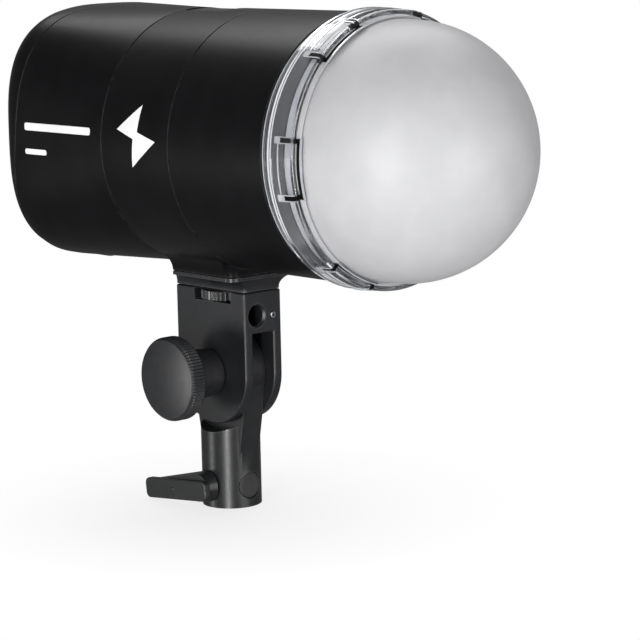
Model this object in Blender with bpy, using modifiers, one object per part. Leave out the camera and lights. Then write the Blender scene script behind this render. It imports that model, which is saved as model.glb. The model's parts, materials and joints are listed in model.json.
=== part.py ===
"""A compact battery monolight on its tilting stand bracket.

Everything is in metres, +Z up. The head's axis runs along Y and the flash fires towards -Y.
The origin is the seat at the blind end of the stand socket, on the socket's axis.
"Forward" below is the distance towards the flash side, so forward = -Y.
"""

import math

import bmesh
import bpy
from mathutils import Euler, Matrix, Vector

# Head
HEAD_Z = 0.122
HEAD_R = 0.0515
WALL = 0.0024
REAR_END = -0.0817
SEAM_REAR = -0.0128
SEAM_FRONT = 0.0285
SHELL_FRONT = 0.0822
SEAM_GAP = 0.0003
REAR_SQUARENESS = 3.0
REAR_SWELL = 0.0009
REAR_FILLET_LONG = 0.0125
REAR_FILLET_DEEP = 0.0110
COVER_SEAM = -0.0690
COVER_SEAM_LEAN = math.radians(8.0)

# Dome and clear ring
DOME_R = 0.0492
DOME_CENTRE = 0.10635
DOME_WALL = 0.0018
RING_TABS = 6
TAB_SPAN = math.radians(27)

# Rear panel
DISPLAY_LOW = (-0.0310, 0.0802, HEAD_Z - 0.0060)
DISPLAY_HIGH = (0.0310, 0.0815, HEAD_Z + 0.0330)
BUTTON_X = 0.0160
BUTTON_Z = HEAD_Z - 0.0210
BUTTON_BASE = 0.0700
BUTTON_HOLE_R = 0.0053
VENTS = 5
VENT_PITCH = 0.0060
VENT_HALF = 0.0011

# Inside the head
TUBE_RING_R = 0.0240
TUBE_GAP = 16
TUBE_PLANE = 0.0770
CELL_R = 0.0092
CELL_GAP = 0.0003
CELL_HALF_LONG = 0.0325
CELLS = [(y, z) for y in (0.0245, 0.0445) for z in (-0.0100, 0.0100)]
BOARD_HALF_X = 0.0340
BOARD_HALF_Z = 0.0300
BULKHEAD_VENTS = 6
BULKHEAD_VENT_REACH = 0.0340
FAN_Y = -0.0435
FAN_HALF = 0.0040
FAN_HALF_SIDE = 0.0250
FAN_BORE_R = 0.0232
FAN_BLADES = 7
BLADE_PITCH = math.radians(40)

# Bracket
PIVOT_Z = 0.027
ARM_HALF_X = 0.00975
ARM_HALF_Y = 0.02125
ARM_MID_Y = -0.00075
ARM_TOP = 0.0612
GAP_HALF_X = 0.0055
GAP_TOP = 0.0442
TONGUE_HALF_X = 0.0052
TONGUE_R = 0.0165
SHOULDER_R = 0.0245
TUBE_R = 0.01215
TUBE_END = -0.0289
SOCKET_R = 0.0081
SEAT_R = 0.0070
SEAT_STEP = 0.0006
SADDLE_LOW = 0.0615
SADDLE_TOP = 0.0685
NECK_LOW = 0.0690
WHEEL_Y = -0.0015
WHEEL_R = 0.0115
WHEEL_LOW = 0.0566
WHEEL_TOP = 0.0606
KNOB_R = 0.0170
WHEEL_RIBS = 34
WHEEL_RIB_DEEP = 0.0006
DOWEL_REACH = 0.0093
BOLT_HOLE_R = 0.0033
UMBRELLA_R = 0.0041
UMBRELLA_PLACE = (-0.0030, 0, 0.0515)
UMBRELLA_SCREW = (0.0052, 0, 0.0510)
LEVER_Z = -0.0200
STOP_SCREW_Z = -0.0160

# Where each turned or bored group has its axis, and which way its heights run
HEAD = (0, 0, HEAD_Z)
TILT = (0, 0, PIVOT_Z)
CLAMP = (0, 0, LEVER_Z)
STOP = (0, 0, STOP_SCREW_Z)
WHEEL = (0, WHEEL_Y, 0)
FRONTWARD = (math.radians(90), 0, 0)
REARWARD = (math.radians(-90), 0, 0)
LEFTWARD = (0, math.radians(-90), 0)
UPWARD = (0, 0, 0)
AROUND = 40
CASING_POINTS = 48
# Turned cutters start a little round from their targets, so that no edges of the two line up.
CUTTER_TWIST = math.radians(3)

for old in list(bpy.data.objects):
    bpy.data.objects.remove(old, do_unlink=True)

parts = bpy.data.collections.new("monolight")
cutters = bpy.data.collections.new("cutters")
cutters.hide_render = True
bpy.context.scene.collection.children.link(parts)
bpy.context.scene.collection.children.link(cutters)


# ---------------------------------------------------------------- materials


def finish(name, colour, roughness, metallic=0.0, alpha=1.0):
    made = bpy.data.materials.new(name)
    made.use_nodes = True
    shader = made.node_tree.nodes["Principled BSDF"]
    shader.inputs["Base Color"].default_value = (*colour, 1)
    shader.inputs["Roughness"].default_value = roughness
    shader.inputs["Metallic"].default_value = metallic
    shader.inputs["Alpha"].default_value = alpha
    return made


BODY = ("shell", (0.018, 0.018, 0.020), 0.55)
METAL = ("bracket", (0.022, 0.022, 0.024), 0.42)
KNOB = ("knob", (0.025, 0.025, 0.027), 0.65)
CLEAR = ("clear_plastic", (0.85, 0.87, 0.90), 0.08, 0.0, 0.35)
FROSTED = ("frosted_dome", (0.86, 0.86, 0.87), 0.45)
STEEL = ("steel", (0.45, 0.46, 0.48), 0.30, 1.0)
BRASS = ("brass", (0.70, 0.52, 0.24), 0.30, 1.0)
SCREEN = ("screen_glass", (0.008, 0.008, 0.010), 0.06)
RUBBER = ("rubber", (0.020, 0.020, 0.020), 0.80)
MIRROR = ("reflector", (0.88, 0.88, 0.88), 0.15, 1.0)
TUBE_GLASS = ("tube_glass", (0.90, 0.92, 0.92), 0.05)
BOARD = ("circuit_board", (0.020, 0.120, 0.055), 0.50)
CERAMIC = ("ceramic", (0.80, 0.79, 0.76), 0.60)
SLEEVE = ("cell_sleeve", (0.06, 0.10, 0.30), 0.40)
ALUMINIUM = ("aluminium", (0.60, 0.61, 0.62), 0.40, 1.0)
LAMP = ("led", (0.90, 0.84, 0.55), 0.40)


# ---------------------------------------------------------------- helpers


def put(name, mesh, look, location=(0, 0, 0), rotation=UPWARD):
    """A node: one named object with its own material."""
    made = bpy.data.objects.new(name, mesh)
    made.location = location
    made.rotation_euler = rotation
    if look is None:
        cutters.objects.link(made)
        made.hide_render = True
        made.display_type = "WIRE"
        return made
    parts.objects.link(made)
    mesh.materials.append(finish(f"{name}_{look[0]}", *look[1:]))
    return made


def smooth(made, degrees=35):
    made.data.shade_smooth()
    made.data.set_sharp_from_angle(angle=math.radians(degrees))
    return made


def turned(name, profile, look, rotation, location, closed=False, steps=AROUND):
    """A (radius, height) profile swept round the local Z axis, listed down its outer side."""
    mesh = bpy.data.meshes.new(name)
    edges = [(i, i + 1) for i in range(len(profile) - 1)]
    if closed:
        edges.append((len(profile) - 1, 0))
    start = CUTTER_TWIST if look is None else 0
    plane = (math.cos(start), math.sin(start))
    points = [(radius * plane[0], radius * plane[1], height) for radius, height in profile]
    mesh.from_pydata(points, edges, [])
    made = put(name, mesh, look, location, rotation)
    turn = made.modifiers.new("Turn", "SCREW")
    turn.steps = steps
    turn.render_steps = steps
    turn.use_merge_vertices = True
    turn.merge_threshold = 0.00001
    return made


def disc(name, radius, low, high, look, rotation, location, steps=32):
    outline = [(0, high), (radius, high), (radius, low), (0, low)]
    return turned(name, outline, look, rotation, location, steps=steps)


def ring(name, inner, outer, low, high, look, rotation, location, steps=32):
    outline = [(outer, high), (outer, low), (inner, low), (inner, high)]
    return turned(name, outline, look, rotation, location, closed=True, steps=steps)


def block(name, low, high, look, round_by=0.0, segments=2):
    """A box between two corners, its edges rounded."""
    low, high = Vector(low), Vector(high)
    sides = high - low
    cube = bmesh.new()
    bmesh.ops.create_cube(cube, size=1)
    bmesh.ops.scale(cube, vec=sides, verts=cube.verts)
    mesh = bpy.data.meshes.new(name)
    cube.to_mesh(mesh)
    cube.free()
    made = put(name, mesh, look, (low + high) / 2)
    if round_by:
        soften = made.modifiers.new("Round", "BEVEL")
        soften.width = round_by
        soften.segments = segments
    return made


def arc(middle, radius, first, last, count):
    """Points on a circle, angles in degrees."""
    angles = [math.radians(first + (last - first) * i / count) for i in range(count + 1)]
    return [(middle[0] + radius * math.cos(a), middle[1] + radius * math.sin(a)) for a in angles]


def as_mesh(curve):
    """The curve object's evaluated mesh with its caps welded on."""
    graph = bpy.context.evaluated_depsgraph_get()
    mesh = bpy.data.meshes.new_from_object(curve.evaluated_get(graph))
    welded = bmesh.new()
    welded.from_mesh(mesh)
    bmesh.ops.remove_doubles(welded, verts=welded.verts, dist=0.00001)
    bmesh.ops.recalc_face_normals(welded, faces=welded.faces)
    welded.to_mesh(mesh)
    welded.free()
    bpy.data.objects.remove(curve)
    return mesh


def plate(name, outline, thickness, look, across, middle):
    """A flat outline given thickness: across "X" takes (y, z) points and across "Z" takes (x, y)."""
    curve = bpy.data.curves.new(name, "CURVE")
    curve.dimensions = "2D"
    curve.fill_mode = "BOTH"
    curve.extrude = thickness / 2
    line = curve.splines.new("POLY")
    line.points.add(len(outline) - 1)
    for point, (u, v) in zip(line.points, outline):
        point.co = (u, v, 0, 1)
    line.use_cyclic_u = True
    guide = bpy.data.objects.new(name + "_outline", curve)
    parts.objects.link(guide)
    bpy.context.view_layer.update()
    mesh = as_mesh(guide)
    if across == "X":
        turn = Matrix(((0, 0, 1), (1, 0, 0), (0, 1, 0))).to_euler()
        return put(name, mesh, look, (middle, 0, 0), turn)
    return put(name, mesh, look, (0, 0, middle))


def loft(name, rings, look, location):
    """A skin through rings of equal length, capped at both ends."""
    count = len(rings[0])
    mesh = bmesh.new()
    rows = [[mesh.verts.new(point) for point in row] for row in rings]
    for near, far in zip(rows, rows[1:]):
        for i in range(count):
            j = (i + 1) % count
            mesh.faces.new((near[i], near[j], far[j], far[i]))
    mesh.faces.new(rows[0])
    mesh.faces.new(rows[-1])
    bmesh.ops.recalc_face_normals(mesh, faces=mesh.faces)
    made = bpy.data.meshes.new(name)
    mesh.to_mesh(made)
    mesh.free()
    return put(name, made, look, location)


def boolean(made, other, operation):
    change = made.modifiers.new(operation.title(), "BOOLEAN")
    change.operation = operation
    change.solver = "EXACT"
    change.object = other
    return made


def cut(made, *others):
    for other in others:
        boolean(made, other, "DIFFERENCE")
    return made


def join(made, *others):
    for other in others:
        boolean(made, other, "UNION")
    return made


def axis(name, location, parent=None):
    """An empty on a joint's axis, which its moving pieces hang from."""
    made = bpy.data.objects.new(name, None)
    made.empty_display_size = 0.01
    parts.objects.link(made)
    made.location = location
    if parent:
        hang([made], parent)
    return made


def hang(pieces, parent):
    bpy.context.view_layer.update()
    for piece in pieces:
        piece.parent = parent
        piece.matrix_parent_inverse = parent.matrix_world.inverted()


# ---------------------------------------------------------------- head casing


def rear_ring(forward, inset=0.0, squareness=None, half=None):
    """A section of the rear casing: round at the seam, growing into a rounded square at the back."""
    along = min(1.0, (SEAM_REAR - forward) / (SEAM_REAR - REAR_END - REAR_FILLET_LONG))
    power = 2 / (squareness or 2 + (REAR_SQUARENESS - 2) * along)
    reach = (half or HEAD_R + REAR_SWELL * along) - inset
    points = []
    for i in range(CASING_POINTS):
        a = math.tau * i / CASING_POINTS
        x = math.copysign(abs(math.cos(a)) ** power, math.cos(a)) * reach
        z = math.copysign(abs(math.sin(a)) ** power, math.sin(a)) * reach
        points.append((x, -forward, z))
    return points


def rear_casing(name):
    """The whole rear cup with a filleted back edge, before it is parted at the cover's seam."""
    shoulder = REAR_END + REAR_FILLET_LONG
    full = HEAD_R + REAR_SWELL
    stations = [SEAM_REAR - SEAM_GAP, -0.026, -0.040, -0.054, shoulder]
    fillet = [math.radians(18 * i) for i in range(1, 6)]
    outer = [rear_ring(s) for s in stations]
    for a in fillet:
        forward = shoulder - REAR_FILLET_LONG * math.sin(a)
        outer.append(rear_ring(forward, REAR_FILLET_DEEP * (1 - math.cos(a)), REAR_SQUARENESS, full))
    inner = [rear_ring(s, WALL) for s in stations]
    for a in fillet[1::2]:
        forward = shoulder - (REAR_FILLET_LONG - WALL) * math.sin(a)
        inner.append(rear_ring(forward, WALL + REAR_FILLET_DEEP * (1 - math.cos(a)), REAR_SQUARENESS, full))
    return loft(name, inner[::-1] + outer, BODY, HEAD)


def cover_side(name, behind):
    """A slab that fills the space on one side of the cover's leaning seam."""
    reach = 0.08 if behind else -0.08
    slab = block(name, (-0.07, -abs(reach), -0.09), (0.07, abs(reach), 0.09), None)
    offset = reach - (SEAM_GAP if behind else 0)
    lean = Euler((COVER_SEAM_LEAN, 0, 0))
    slab.rotation_euler = lean
    slab.location = Vector((0, -COVER_SEAM, HEAD_Z)) + lean.to_matrix() @ Vector((0, offset, 0))
    return slab


def rear_shell():
    made = cut(rear_casing("rear_shell"), cover_side("behind_seam", True))
    recess = block("port_recess", (-0.0153, 0.0567, 0.0600), (0.0153, 0.0683, 0.0711), None)
    window = block("port_window", (-0.0120, 0.0590, 0.0600), (0.0120, 0.0660, 0.0780), None)
    cut(made, recess, window)
    for i in range(VENTS):
        x = (i - (VENTS - 1) / 2) * VENT_PITCH
        slot = block(f"vent_{i}", (x - VENT_HALF, 0.0200, 0.060), (x + VENT_HALF, 0.0440, 0.078), None)
        cut(made, slot)
    return made


def rear_cover():
    made = cut(rear_casing("rear_cover"), cover_side("ahead_of_seam", False))
    gap = Vector((0.0003, 0.0003, 0.0003))
    recess_low = Vector(DISPLAY_LOW) - gap
    recess_high = Vector(DISPLAY_HIGH) + gap + Vector((0, 0.003, 0))
    recess = block("display_recess", recess_low, recess_high, None)
    window = block("display_window", (-0.027, 0.076, HEAD_Z - 0.002), (0.027, 0.083, HEAD_Z + 0.029), None)
    cut(made, recess, window)
    for side in (-1, 1):
        place = (side * BUTTON_X, BUTTON_BASE, BUTTON_Z)
        cut(made, disc(f"button_hole_{side}", BUTTON_HOLE_R, 0, 0.014, None, REARWARD, place, 24))
    return made


def display():
    glass = block("display_glass", DISPLAY_LOW, DISPLAY_HIGH, SCREEN, 0.0004, 1)
    low, high = (-0.0265, 0.0755, HEAD_Z - 0.0017), (0.0265, 0.0798, HEAD_Z + 0.0287)
    return [glass, block("display_module", low, high, BODY)]


def button(name, side):
    """A round cap held from inside by its flange."""
    outline = [
        (0, 0.0130),
        (0.0042, 0.0130),
        (0.0050, 0.0124),
        (0.0050, 0.0078),
        (0.0062, 0.0078),
        (0.0062, 0.0062),
        (0, 0.0062),
    ]
    return turned(name, outline, KNOB, REARWARD, (side * BUTTON_X, BUTTON_BASE, BUTTON_Z), steps=24)


def middle_shell():
    """The middle tube of the casing, with the neck that the bracket screws up into."""
    back, front = SEAM_REAR + SEAM_GAP, SEAM_FRONT - SEAM_GAP
    made = ring("middle_shell", HEAD_R - WALL, HEAD_R, back, front, BODY, FRONTWARD, HEAD, AROUND)
    neck = block("neck", (-0.0185, -0.0250, NECK_LOW), (0.0185, 0.0122, 0.0900), None, 0.003)
    inside = disc("neck_trim", HEAD_R - WALL / 2, -0.05, 0.06, None, FRONTWARD, HEAD, 44)
    boss = disc("neck_boss", 0.0090, 0.0600, 0.0800, None, UPWARD, WHEEL, 24)
    well = disc("insert_well", 0.0058, 0.0600, 0.0783, None, UPWARD, WHEEL, 24)
    window = block("sensor_cut", (-0.0093, -0.0133, 0.1600), (0.0093, 0.0113, 0.1800), None)
    join(made, cut(neck, cut(inside, boss)))
    return cut(made, well, window, *[dowel(f"dowel_hole_{s}", s, 0.0018, 0.0001) for s in (-1, 1)])


def sensor_window():
    """A dark lens let into the top of the middle shell."""
    made = disc("sensor_window", HEAD_R - 0.0004, -0.0110, 0.0130, SCREEN, FRONTWARD, HEAD, AROUND)
    keep = block("sensor_keep", (-0.0090, -0.0300, 0.1705), (0.0090, 0.0300, 0.1800), None)
    return boolean(made, keep, "INTERSECT")


def front_shell():
    back, front = SEAM_FRONT + SEAM_GAP, SHELL_FRONT
    return ring("front_shell", HEAD_R - WALL, HEAD_R, back, front, BODY, FRONTWARD, HEAD, AROUND)


def port_flap():
    return block("port_flap", (-0.0150, 0.0572, 0.0698), (0.0150, 0.0680, 0.0708), RUBBER, 0.0003, 1)


def ports():
    usb = block("usb_port", (-0.0090, 0.0600, 0.0735), (-0.0010, 0.0650, 0.0815), STEEL)
    jack = ring("sync_jack", 0.0013, 0.0035, 0.0735, 0.0815, BODY, UPWARD, (0.0065, 0.0625, 0), 20)
    return [usb, jack]


# ---------------------------------------------------------------- flash head


def dome_radius(forward, inset=0.0):
    reach = DOME_R - inset
    return math.sqrt(max(0.0, reach**2 - (forward - DOME_CENTRE) ** 2))


def dome():
    """A frosted cap: most of a sphere, with a short straight skirt under the ring."""
    skirt_top, skirt_low = 0.0925, 0.0882
    start = math.degrees(math.asin((DOME_CENTRE - skirt_top) / DOME_R))
    outer = arc((0, DOME_CENTRE), DOME_R, 90, -start, 10)
    inner = arc((0, DOME_CENTRE), DOME_R - DOME_WALL, -start, 90, 6)
    outer[0] = (0, outer[0][1])
    inner[-1] = (0, inner[-1][1])
    skirt = [(outer[-1][0], skirt_low), (inner[0][0], skirt_low)]
    return turned("dome", outer + skirt + inner, FROSTED, FRONTWARD, HEAD)


def ring_slots(name):
    """The two radial slots at the ends of each spring tab, as one cutter."""
    mesh = bmesh.new()
    for i in range(RING_TABS):
        for side in (-1, 1):
            angle = math.tau * i / RING_TABS + side * TAB_SPAN / 2
            place = Matrix.Rotation(angle, 4, "Z") @ Matrix.Translation((0.0500, 0, 0.0885))
            size = Matrix.Diagonal((0.0080, 0.0027, 0.0052, 1))
            bmesh.ops.create_cube(mesh, size=1, matrix=place @ size)
    made = bpy.data.meshes.new(name)
    mesh.to_mesh(made)
    mesh.free()
    return put(name, made, None, HEAD, FRONTWARD)


def dome_ring():
    outline = [
        (0.0489, 0.0940),
        (0.0497, 0.0925),
        (0.0507, 0.0870),
        (0.0511, 0.0826),
        (0.0496, 0.0826),
        (0.0492, 0.0870),
        (0.0482, 0.0920),
        (0.0479, 0.0940),
    ]
    made = turned("dome_ring", outline, CLEAR, FRONTWARD, HEAD, closed=True)
    return cut(made, ring_slots("ring_slots"))


def front_bezel():
    """The black collar that closes the shell, holds the reflector and seats the dome."""
    outline = [
        (0.0446, 0.0910),
        (0.0446, 0.0874),
        (0.0484, 0.0874),
        (0.0484, 0.0760),
        (0.0432, 0.0760),
        (0.0432, 0.0910),
    ]
    return turned("front_bezel", outline, BODY, FRONTWARD, HEAD, closed=True)


def leg_place(side):
    a = math.radians(-90 + side * TUBE_GAP)
    return (TUBE_RING_R * math.cos(a), TUBE_RING_R * math.sin(a))


def leg_hole(name, side, radius, low, high):
    x, z = leg_place(side)
    return disc(name, radius, low, high, None, FRONTWARD, (x, 0, HEAD_Z + z), 20)


def reflector():
    outline = [
        (0.0426, 0.0880),
        (0.0410, 0.0820),
        (0.0340, 0.0720),
        (0.0300, 0.0672),
        (0.0145, 0.0655),
        (0.0145, 0.0667),
        (0.0294, 0.0684),
        (0.0332, 0.0730),
        (0.0400, 0.0826),
        (0.0414, 0.0880),
    ]
    made = turned("reflector", outline, MIRROR, FRONTWARD, HEAD, closed=True)
    return cut(made, *[leg_hole(f"reflector_hole_{s}", s, 0.0047, 0.05, 0.075) for s in (-1, 1)])


def flash_tube():
    """A ring tube whose two ends bend back to their electrodes."""
    curve = bpy.data.curves.new("flash_tube", "CURVE")
    curve.dimensions = "3D"
    curve.bevel_depth = 0.0036
    curve.bevel_resolution = 2
    curve.use_fill_caps = True
    bend = 0.006
    path = []
    for x, z in arc((0, 0), TUBE_RING_R, -90 + TUBE_GAP, 270 - TUBE_GAP, 20):
        path.append((x, -TUBE_PLANE, z))
    ends = [(leg_place(1), path[0]), (leg_place(-1), path[-1])]
    legs = [[(x, -0.0600, z), (x, -TUBE_PLANE + bend, z)] for (x, z), _ in ends]
    path = [legs[0][0], legs[0][1]] + path + [legs[1][1], legs[1][0]]
    line = curve.splines.new("POLY")
    line.points.add(len(path) - 1)
    for point, place in zip(line.points, path):
        point.co = (*place, 1)
    guide = bpy.data.objects.new("flash_tube_path", curve)
    parts.objects.link(guide)
    bpy.context.view_layer.update()
    return put("flash_tube", as_mesh(guide), TUBE_GLASS, HEAD)


def tube_socket():
    made = ring("tube_socket", 0.0140, 0.0310, 0.0560, 0.0640, CERAMIC, FRONTWARD, HEAD)
    return cut(made, *[leg_hole(f"socket_hole_{s}", s, 0.0042, 0.0590, 0.07) for s in (-1, 1)])


def modelling_light():
    board = disc("led_board", 0.0120, 0.0663, 0.0678, BOARD, FRONTWARD, HEAD, 24)
    lens_outline = [(0, 0.0721)] + arc((0, 0.0681), 0.0060, 65, 0, 4) + [(0, 0.0681)]
    lens = turned("led_lens", lens_outline, LAMP, FRONTWARD, HEAD, steps=24)
    sink = disc("led_heatsink", 0.0125, 0.0490, 0.0660, ALUMINIUM, FRONTWARD, HEAD, 20)
    for i in range(3):
        low = 0.0515 + 0.0045 * i
        sink = cut(sink, ring(f"fin_gap_{i}", 0.0070, 0.0200, low, low + 0.0025, None, FRONTWARD, HEAD, 20))
    return [board, lens, sink]


# ---------------------------------------------------------------- inside the head


def bulkhead():
    made = disc("bulkhead", 0.0484, 0.0500, 0.0520, ALUMINIUM, FRONTWARD, HEAD)
    bore = disc("bulkhead_bore", 0.0130, 0.04, 0.06, None, FRONTWARD, HEAD, 24)
    cut(made, bore)
    for i in range(BULKHEAD_VENTS):
        a = math.tau * i / BULKHEAD_VENTS
        place = (BULKHEAD_VENT_REACH * math.cos(a), 0, HEAD_Z + BULKHEAD_VENT_REACH * math.sin(a))
        cut(made, disc(f"bulkhead_vent_{i}", 0.006, 0.04, 0.06, None, FRONTWARD, place, 12))
    return made


def capacitors():
    made = []
    for i, (x, z) in enumerate([(-0.0170, 0.0205), (0.0170, 0.0205), (-0.0170, -0.0185), (0.0170, -0.0185)]):
        outline = [(0, 0.0380), (0.0140, 0.0380), (0.0150, 0.0370), (0.0150, -0.0060), (0, -0.0060)]
        made.append(turned(f"capacitor_{i + 1}", outline, SLEEVE, FRONTWARD, (x, 0, HEAD_Z + z), steps=20))
    return made


def boards():
    made = []
    for name, back in (("main_board", 0.0090), ("control_board", 0.0720)):
        low = (-BOARD_HALF_X, back, HEAD_Z - BOARD_HALF_Z)
        high = (BOARD_HALF_X, back + 0.0016, HEAD_Z + BOARD_HALF_Z)
        made.append(block(name, low, high, BOARD))
    return made


def battery():
    """Four cells lying across the head, two on each side of a moulded cradle."""
    low, high = (-0.0345, 0.0260, HEAD_Z - 0.0205), (0.0345, 0.0430, HEAD_Z + 0.0205)
    holder = block("battery_holder", low, high, BODY)
    made = []
    for i, (y, z) in enumerate(CELLS):
        place = (0, y, HEAD_Z + z)
        cut(holder, disc(f"cell_bed_{i}", CELL_R + CELL_GAP, -0.04, 0.04, None, LEFTWARD, place, 24))
        ends = (-CELL_HALF_LONG, CELL_HALF_LONG)
        made.append(disc(f"battery_cell_{i + 1}", CELL_R, *ends, SLEEVE, LEFTWARD, place, 20))
    return [holder] + made


def fan_frame():
    low = (-FAN_HALF_SIDE, FAN_Y - FAN_HALF, HEAD_Z - FAN_HALF_SIDE)
    high = (FAN_HALF_SIDE, FAN_Y + FAN_HALF, HEAD_Z + FAN_HALF_SIDE)
    made = block("fan_frame", low, high, BODY)
    return cut(made, disc("fan_bore", FAN_BORE_R, -0.02, 0.02, None, FRONTWARD, (0, FAN_Y, HEAD_Z), 32))


def fan_rotor():
    place = (0, FAN_Y, HEAD_Z)
    made = disc("fan_rotor", 0.0090, -0.0036, 0.0036, BODY, FRONTWARD, place, 24)
    for i in range(FAN_BLADES):
        blade = block(f"blade_{i}", (0.0070, -0.0008, -0.0040), (0.0220, 0.0008, 0.0040), None)
        turn = Matrix.Rotation(math.tau * i / FAN_BLADES, 4, "Z") @ Matrix.Rotation(BLADE_PITCH, 4, "X")
        centre = Matrix.Translation(Vector(blade.location))
        blade.matrix_world = Matrix.Translation(place) @ Euler(FRONTWARD).to_matrix().to_4x4() @ turn @ centre
        join(made, blade)
    return made


# ---------------------------------------------------------------- bracket


def stand_mount():
    """The socket that slips over a stand's spigot, rising into the tongue that the head tilts on."""
    made = disc("stand_mount", TUBE_R, TUBE_END, 0.0120, METAL, UPWARD, (0, 0, 0), AROUND)
    for side in (-1, 1):
        middle = side * (TONGUE_HALF_X + 0.0095)
        place = (middle, 0, PIVOT_Z)
        cut(made, disc(f"cheek_room_{side}", SHOULDER_R, -0.01, 0.01, None, LEFTWARD, place, AROUND))
    side_y = TONGUE_R * math.cos(math.radians(20))
    outline = arc((0, PIVOT_Z), TONGUE_R, -20, 200, 20)
    outline += [(-side_y + 0.0004, 0.0160), (-0.0137, 0.0070), (-0.0121, -0.0060), (-0.0100, -0.0080)]
    outline += [(0.0100, -0.0080), (0.0121, -0.0060), (0.0137, 0.0070), (side_y - 0.0004, 0.0160)]
    join(made, plate("tongue", outline, 2 * TONGUE_HALF_X, None, "X", 0))
    bore = [(0, 0), (SEAT_R, 0), (SEAT_R, SEAT_STEP), (SOCKET_R, SEAT_STEP), (SOCKET_R, -0.04), (0, -0.04)]
    cut(made, turned("socket_bore", bore, None, UPWARD, (0, 0, 0)))
    cut(made, disc("bolt_hole", BOLT_HOLE_R, -0.02, 0.02, None, LEFTWARD, TILT, 24))
    for side in (-1, 1):
        place = (side * (TONGUE_HALF_X + 0.004), 0, PIVOT_Z)
        cut(made, disc(f"washer_seat_{side}", 0.0100, -0.005, 0.005, None, LEFTWARD, place, 32))
    cut(made, disc("clamp_hole", BOLT_HOLE_R, 0.0040, 0.02, None, LEFTWARD, CLAMP, 24))
    cut(made, disc("stop_hole", 0.0025, -0.02, -0.0040, None, LEFTWARD, STOP, 20))
    cut(made, disc("plug_seat", 0.0057, 0.0106, 0.02, None, FRONTWARD, (0, 0, LEVER_Z), 24))
    return made


def friction_washers():
    made = []
    for side, name in ((1, "friction_washer_left"), (-1, "friction_washer_right")):
        low, high = sorted((side * 0.0045, side * 0.0052))
        made.append(ring(name, 0.0034, 0.0096, low, high, BRASS, LEFTWARD, TILT, 20))
    return made


def stop_screw():
    return disc("spigot_stop_screw", 0.0022, -0.0133, -0.0092, STEEL, LEFTWARD, STOP, 20)


def socket_plug():
    return disc("socket_plug", 0.0054, 0.0109, 0.0117, RUBBER, FRONTWARD, (0, 0, LEVER_Z), 24)


def fork_arm():
    """Two cheeks joined at the top, bored for the umbrella shaft and slotted for the thumbwheel."""
    low = PIVOT_Z
    outline = arc((ARM_MID_Y, low), ARM_HALF_Y, 180, 360, 24)
    outline += [(ARM_MID_Y + ARM_HALF_Y, ARM_TOP), (ARM_MID_Y - ARM_HALF_Y, ARM_TOP)]
    made = plate("fork_arm", outline, 2 * ARM_HALF_X, METAL, "X", 0)
    gap = block("fork_gap", (-GAP_HALF_X, -0.03, -0.02), (GAP_HALF_X, 0.03, GAP_TOP), None)
    slot = block("wheel_slot", (-0.02, -0.0138, 0.0562), (0.02, 0.0108, 0.0650), None)
    shaft_hole = disc("umbrella_hole", UMBRELLA_R, -0.03, 0.03, None, FRONTWARD, UMBRELLA_PLACE, 28)
    screw_hole = disc("umbrella_screw_hole", 0.0017, 0.0150, 0.03, None, FRONTWARD, UMBRELLA_SCREW, 16)
    bolt_hole = disc("cheek_bolt_hole", BOLT_HOLE_R, -0.02, 0.02, None, LEFTWARD, TILT, 24)
    nut_seat = disc("nut_seat", 0.0061, -0.02, -0.0064, None, LEFTWARD, TILT, 24)
    return cut(made, gap, slot, shaft_hole, screw_hole, bolt_hole, nut_seat)


def tilt_nut():
    made = disc("tilt_nut", 0.0056, -0.0094, -0.0067, STEEL, LEFTWARD, TILT, 6)
    return cut(made, disc("nut_bore", BOLT_HOLE_R, -0.02, 0.0, None, LEFTWARD, TILT, 24))


def umbrella_screw():
    return disc("umbrella_screw", 0.0014, 0.0155, 0.0225, STEEL, FRONTWARD, UMBRELLA_SCREW, 16)


def rounded_rectangle(half_x, low_y, high_y, corner, height):
    points = []
    for cx, cy, first in (
        (half_x - corner, high_y - corner, 0),
        (-half_x + corner, high_y - corner, 90),
        (-half_x + corner, low_y + corner, 180),
        (half_x - corner, low_y + corner, 270),
    ):
        points += [(x, y, height) for x, y in arc((cx, cy), corner, first, first + 90, 4)]
    return points


def saddle_plate():
    """Flares from the arm's outline up to the wide pad that the head rests on."""
    narrow_x, wide_x = 0.0100, 0.0185
    flare_low, flare_high = 0.0625, 0.0668
    rows = [rounded_rectangle(narrow_x, -0.0222, 0.0205, 0.0015, SADDLE_LOW)]
    for i in range(5):
        a = math.radians(22.5 * i)
        half = narrow_x + (wide_x - narrow_x) * (1 - math.cos(a))
        spread = 1 - math.cos(a)
        height = flare_low + (flare_high - flare_low) * math.sin(a)
        corner = 0.0015 + 0.0025 * spread
        rows.append(rounded_rectangle(half, -0.0222 - 0.0026 * spread, 0.0205, corner, height))
    rows.append(rounded_rectangle(wide_x, -0.0248, 0.0205, 0.0040, SADDLE_TOP))
    made = loft("saddle_plate", rows, METAL, (0, 0, 0))
    cut(made, disc("saddle_bore", 0.0036, 0.05, 0.08, None, UPWARD, WHEEL, 24))
    return cut(made, *[dowel(f"saddle_dowel_hole_{s}", s, 0.0018, 0.0001) for s in (-1, 1)])


def dowel(name, side, radius, slack=0.0, look=None):
    """A pin beside the screw that stops the head turning on the bracket."""
    place = (0, WHEEL_Y + side * DOWEL_REACH, 0)
    return disc(name, radius, 0.0645 - slack, 0.0725 + slack, look, UPWARD, place, 16)


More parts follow.
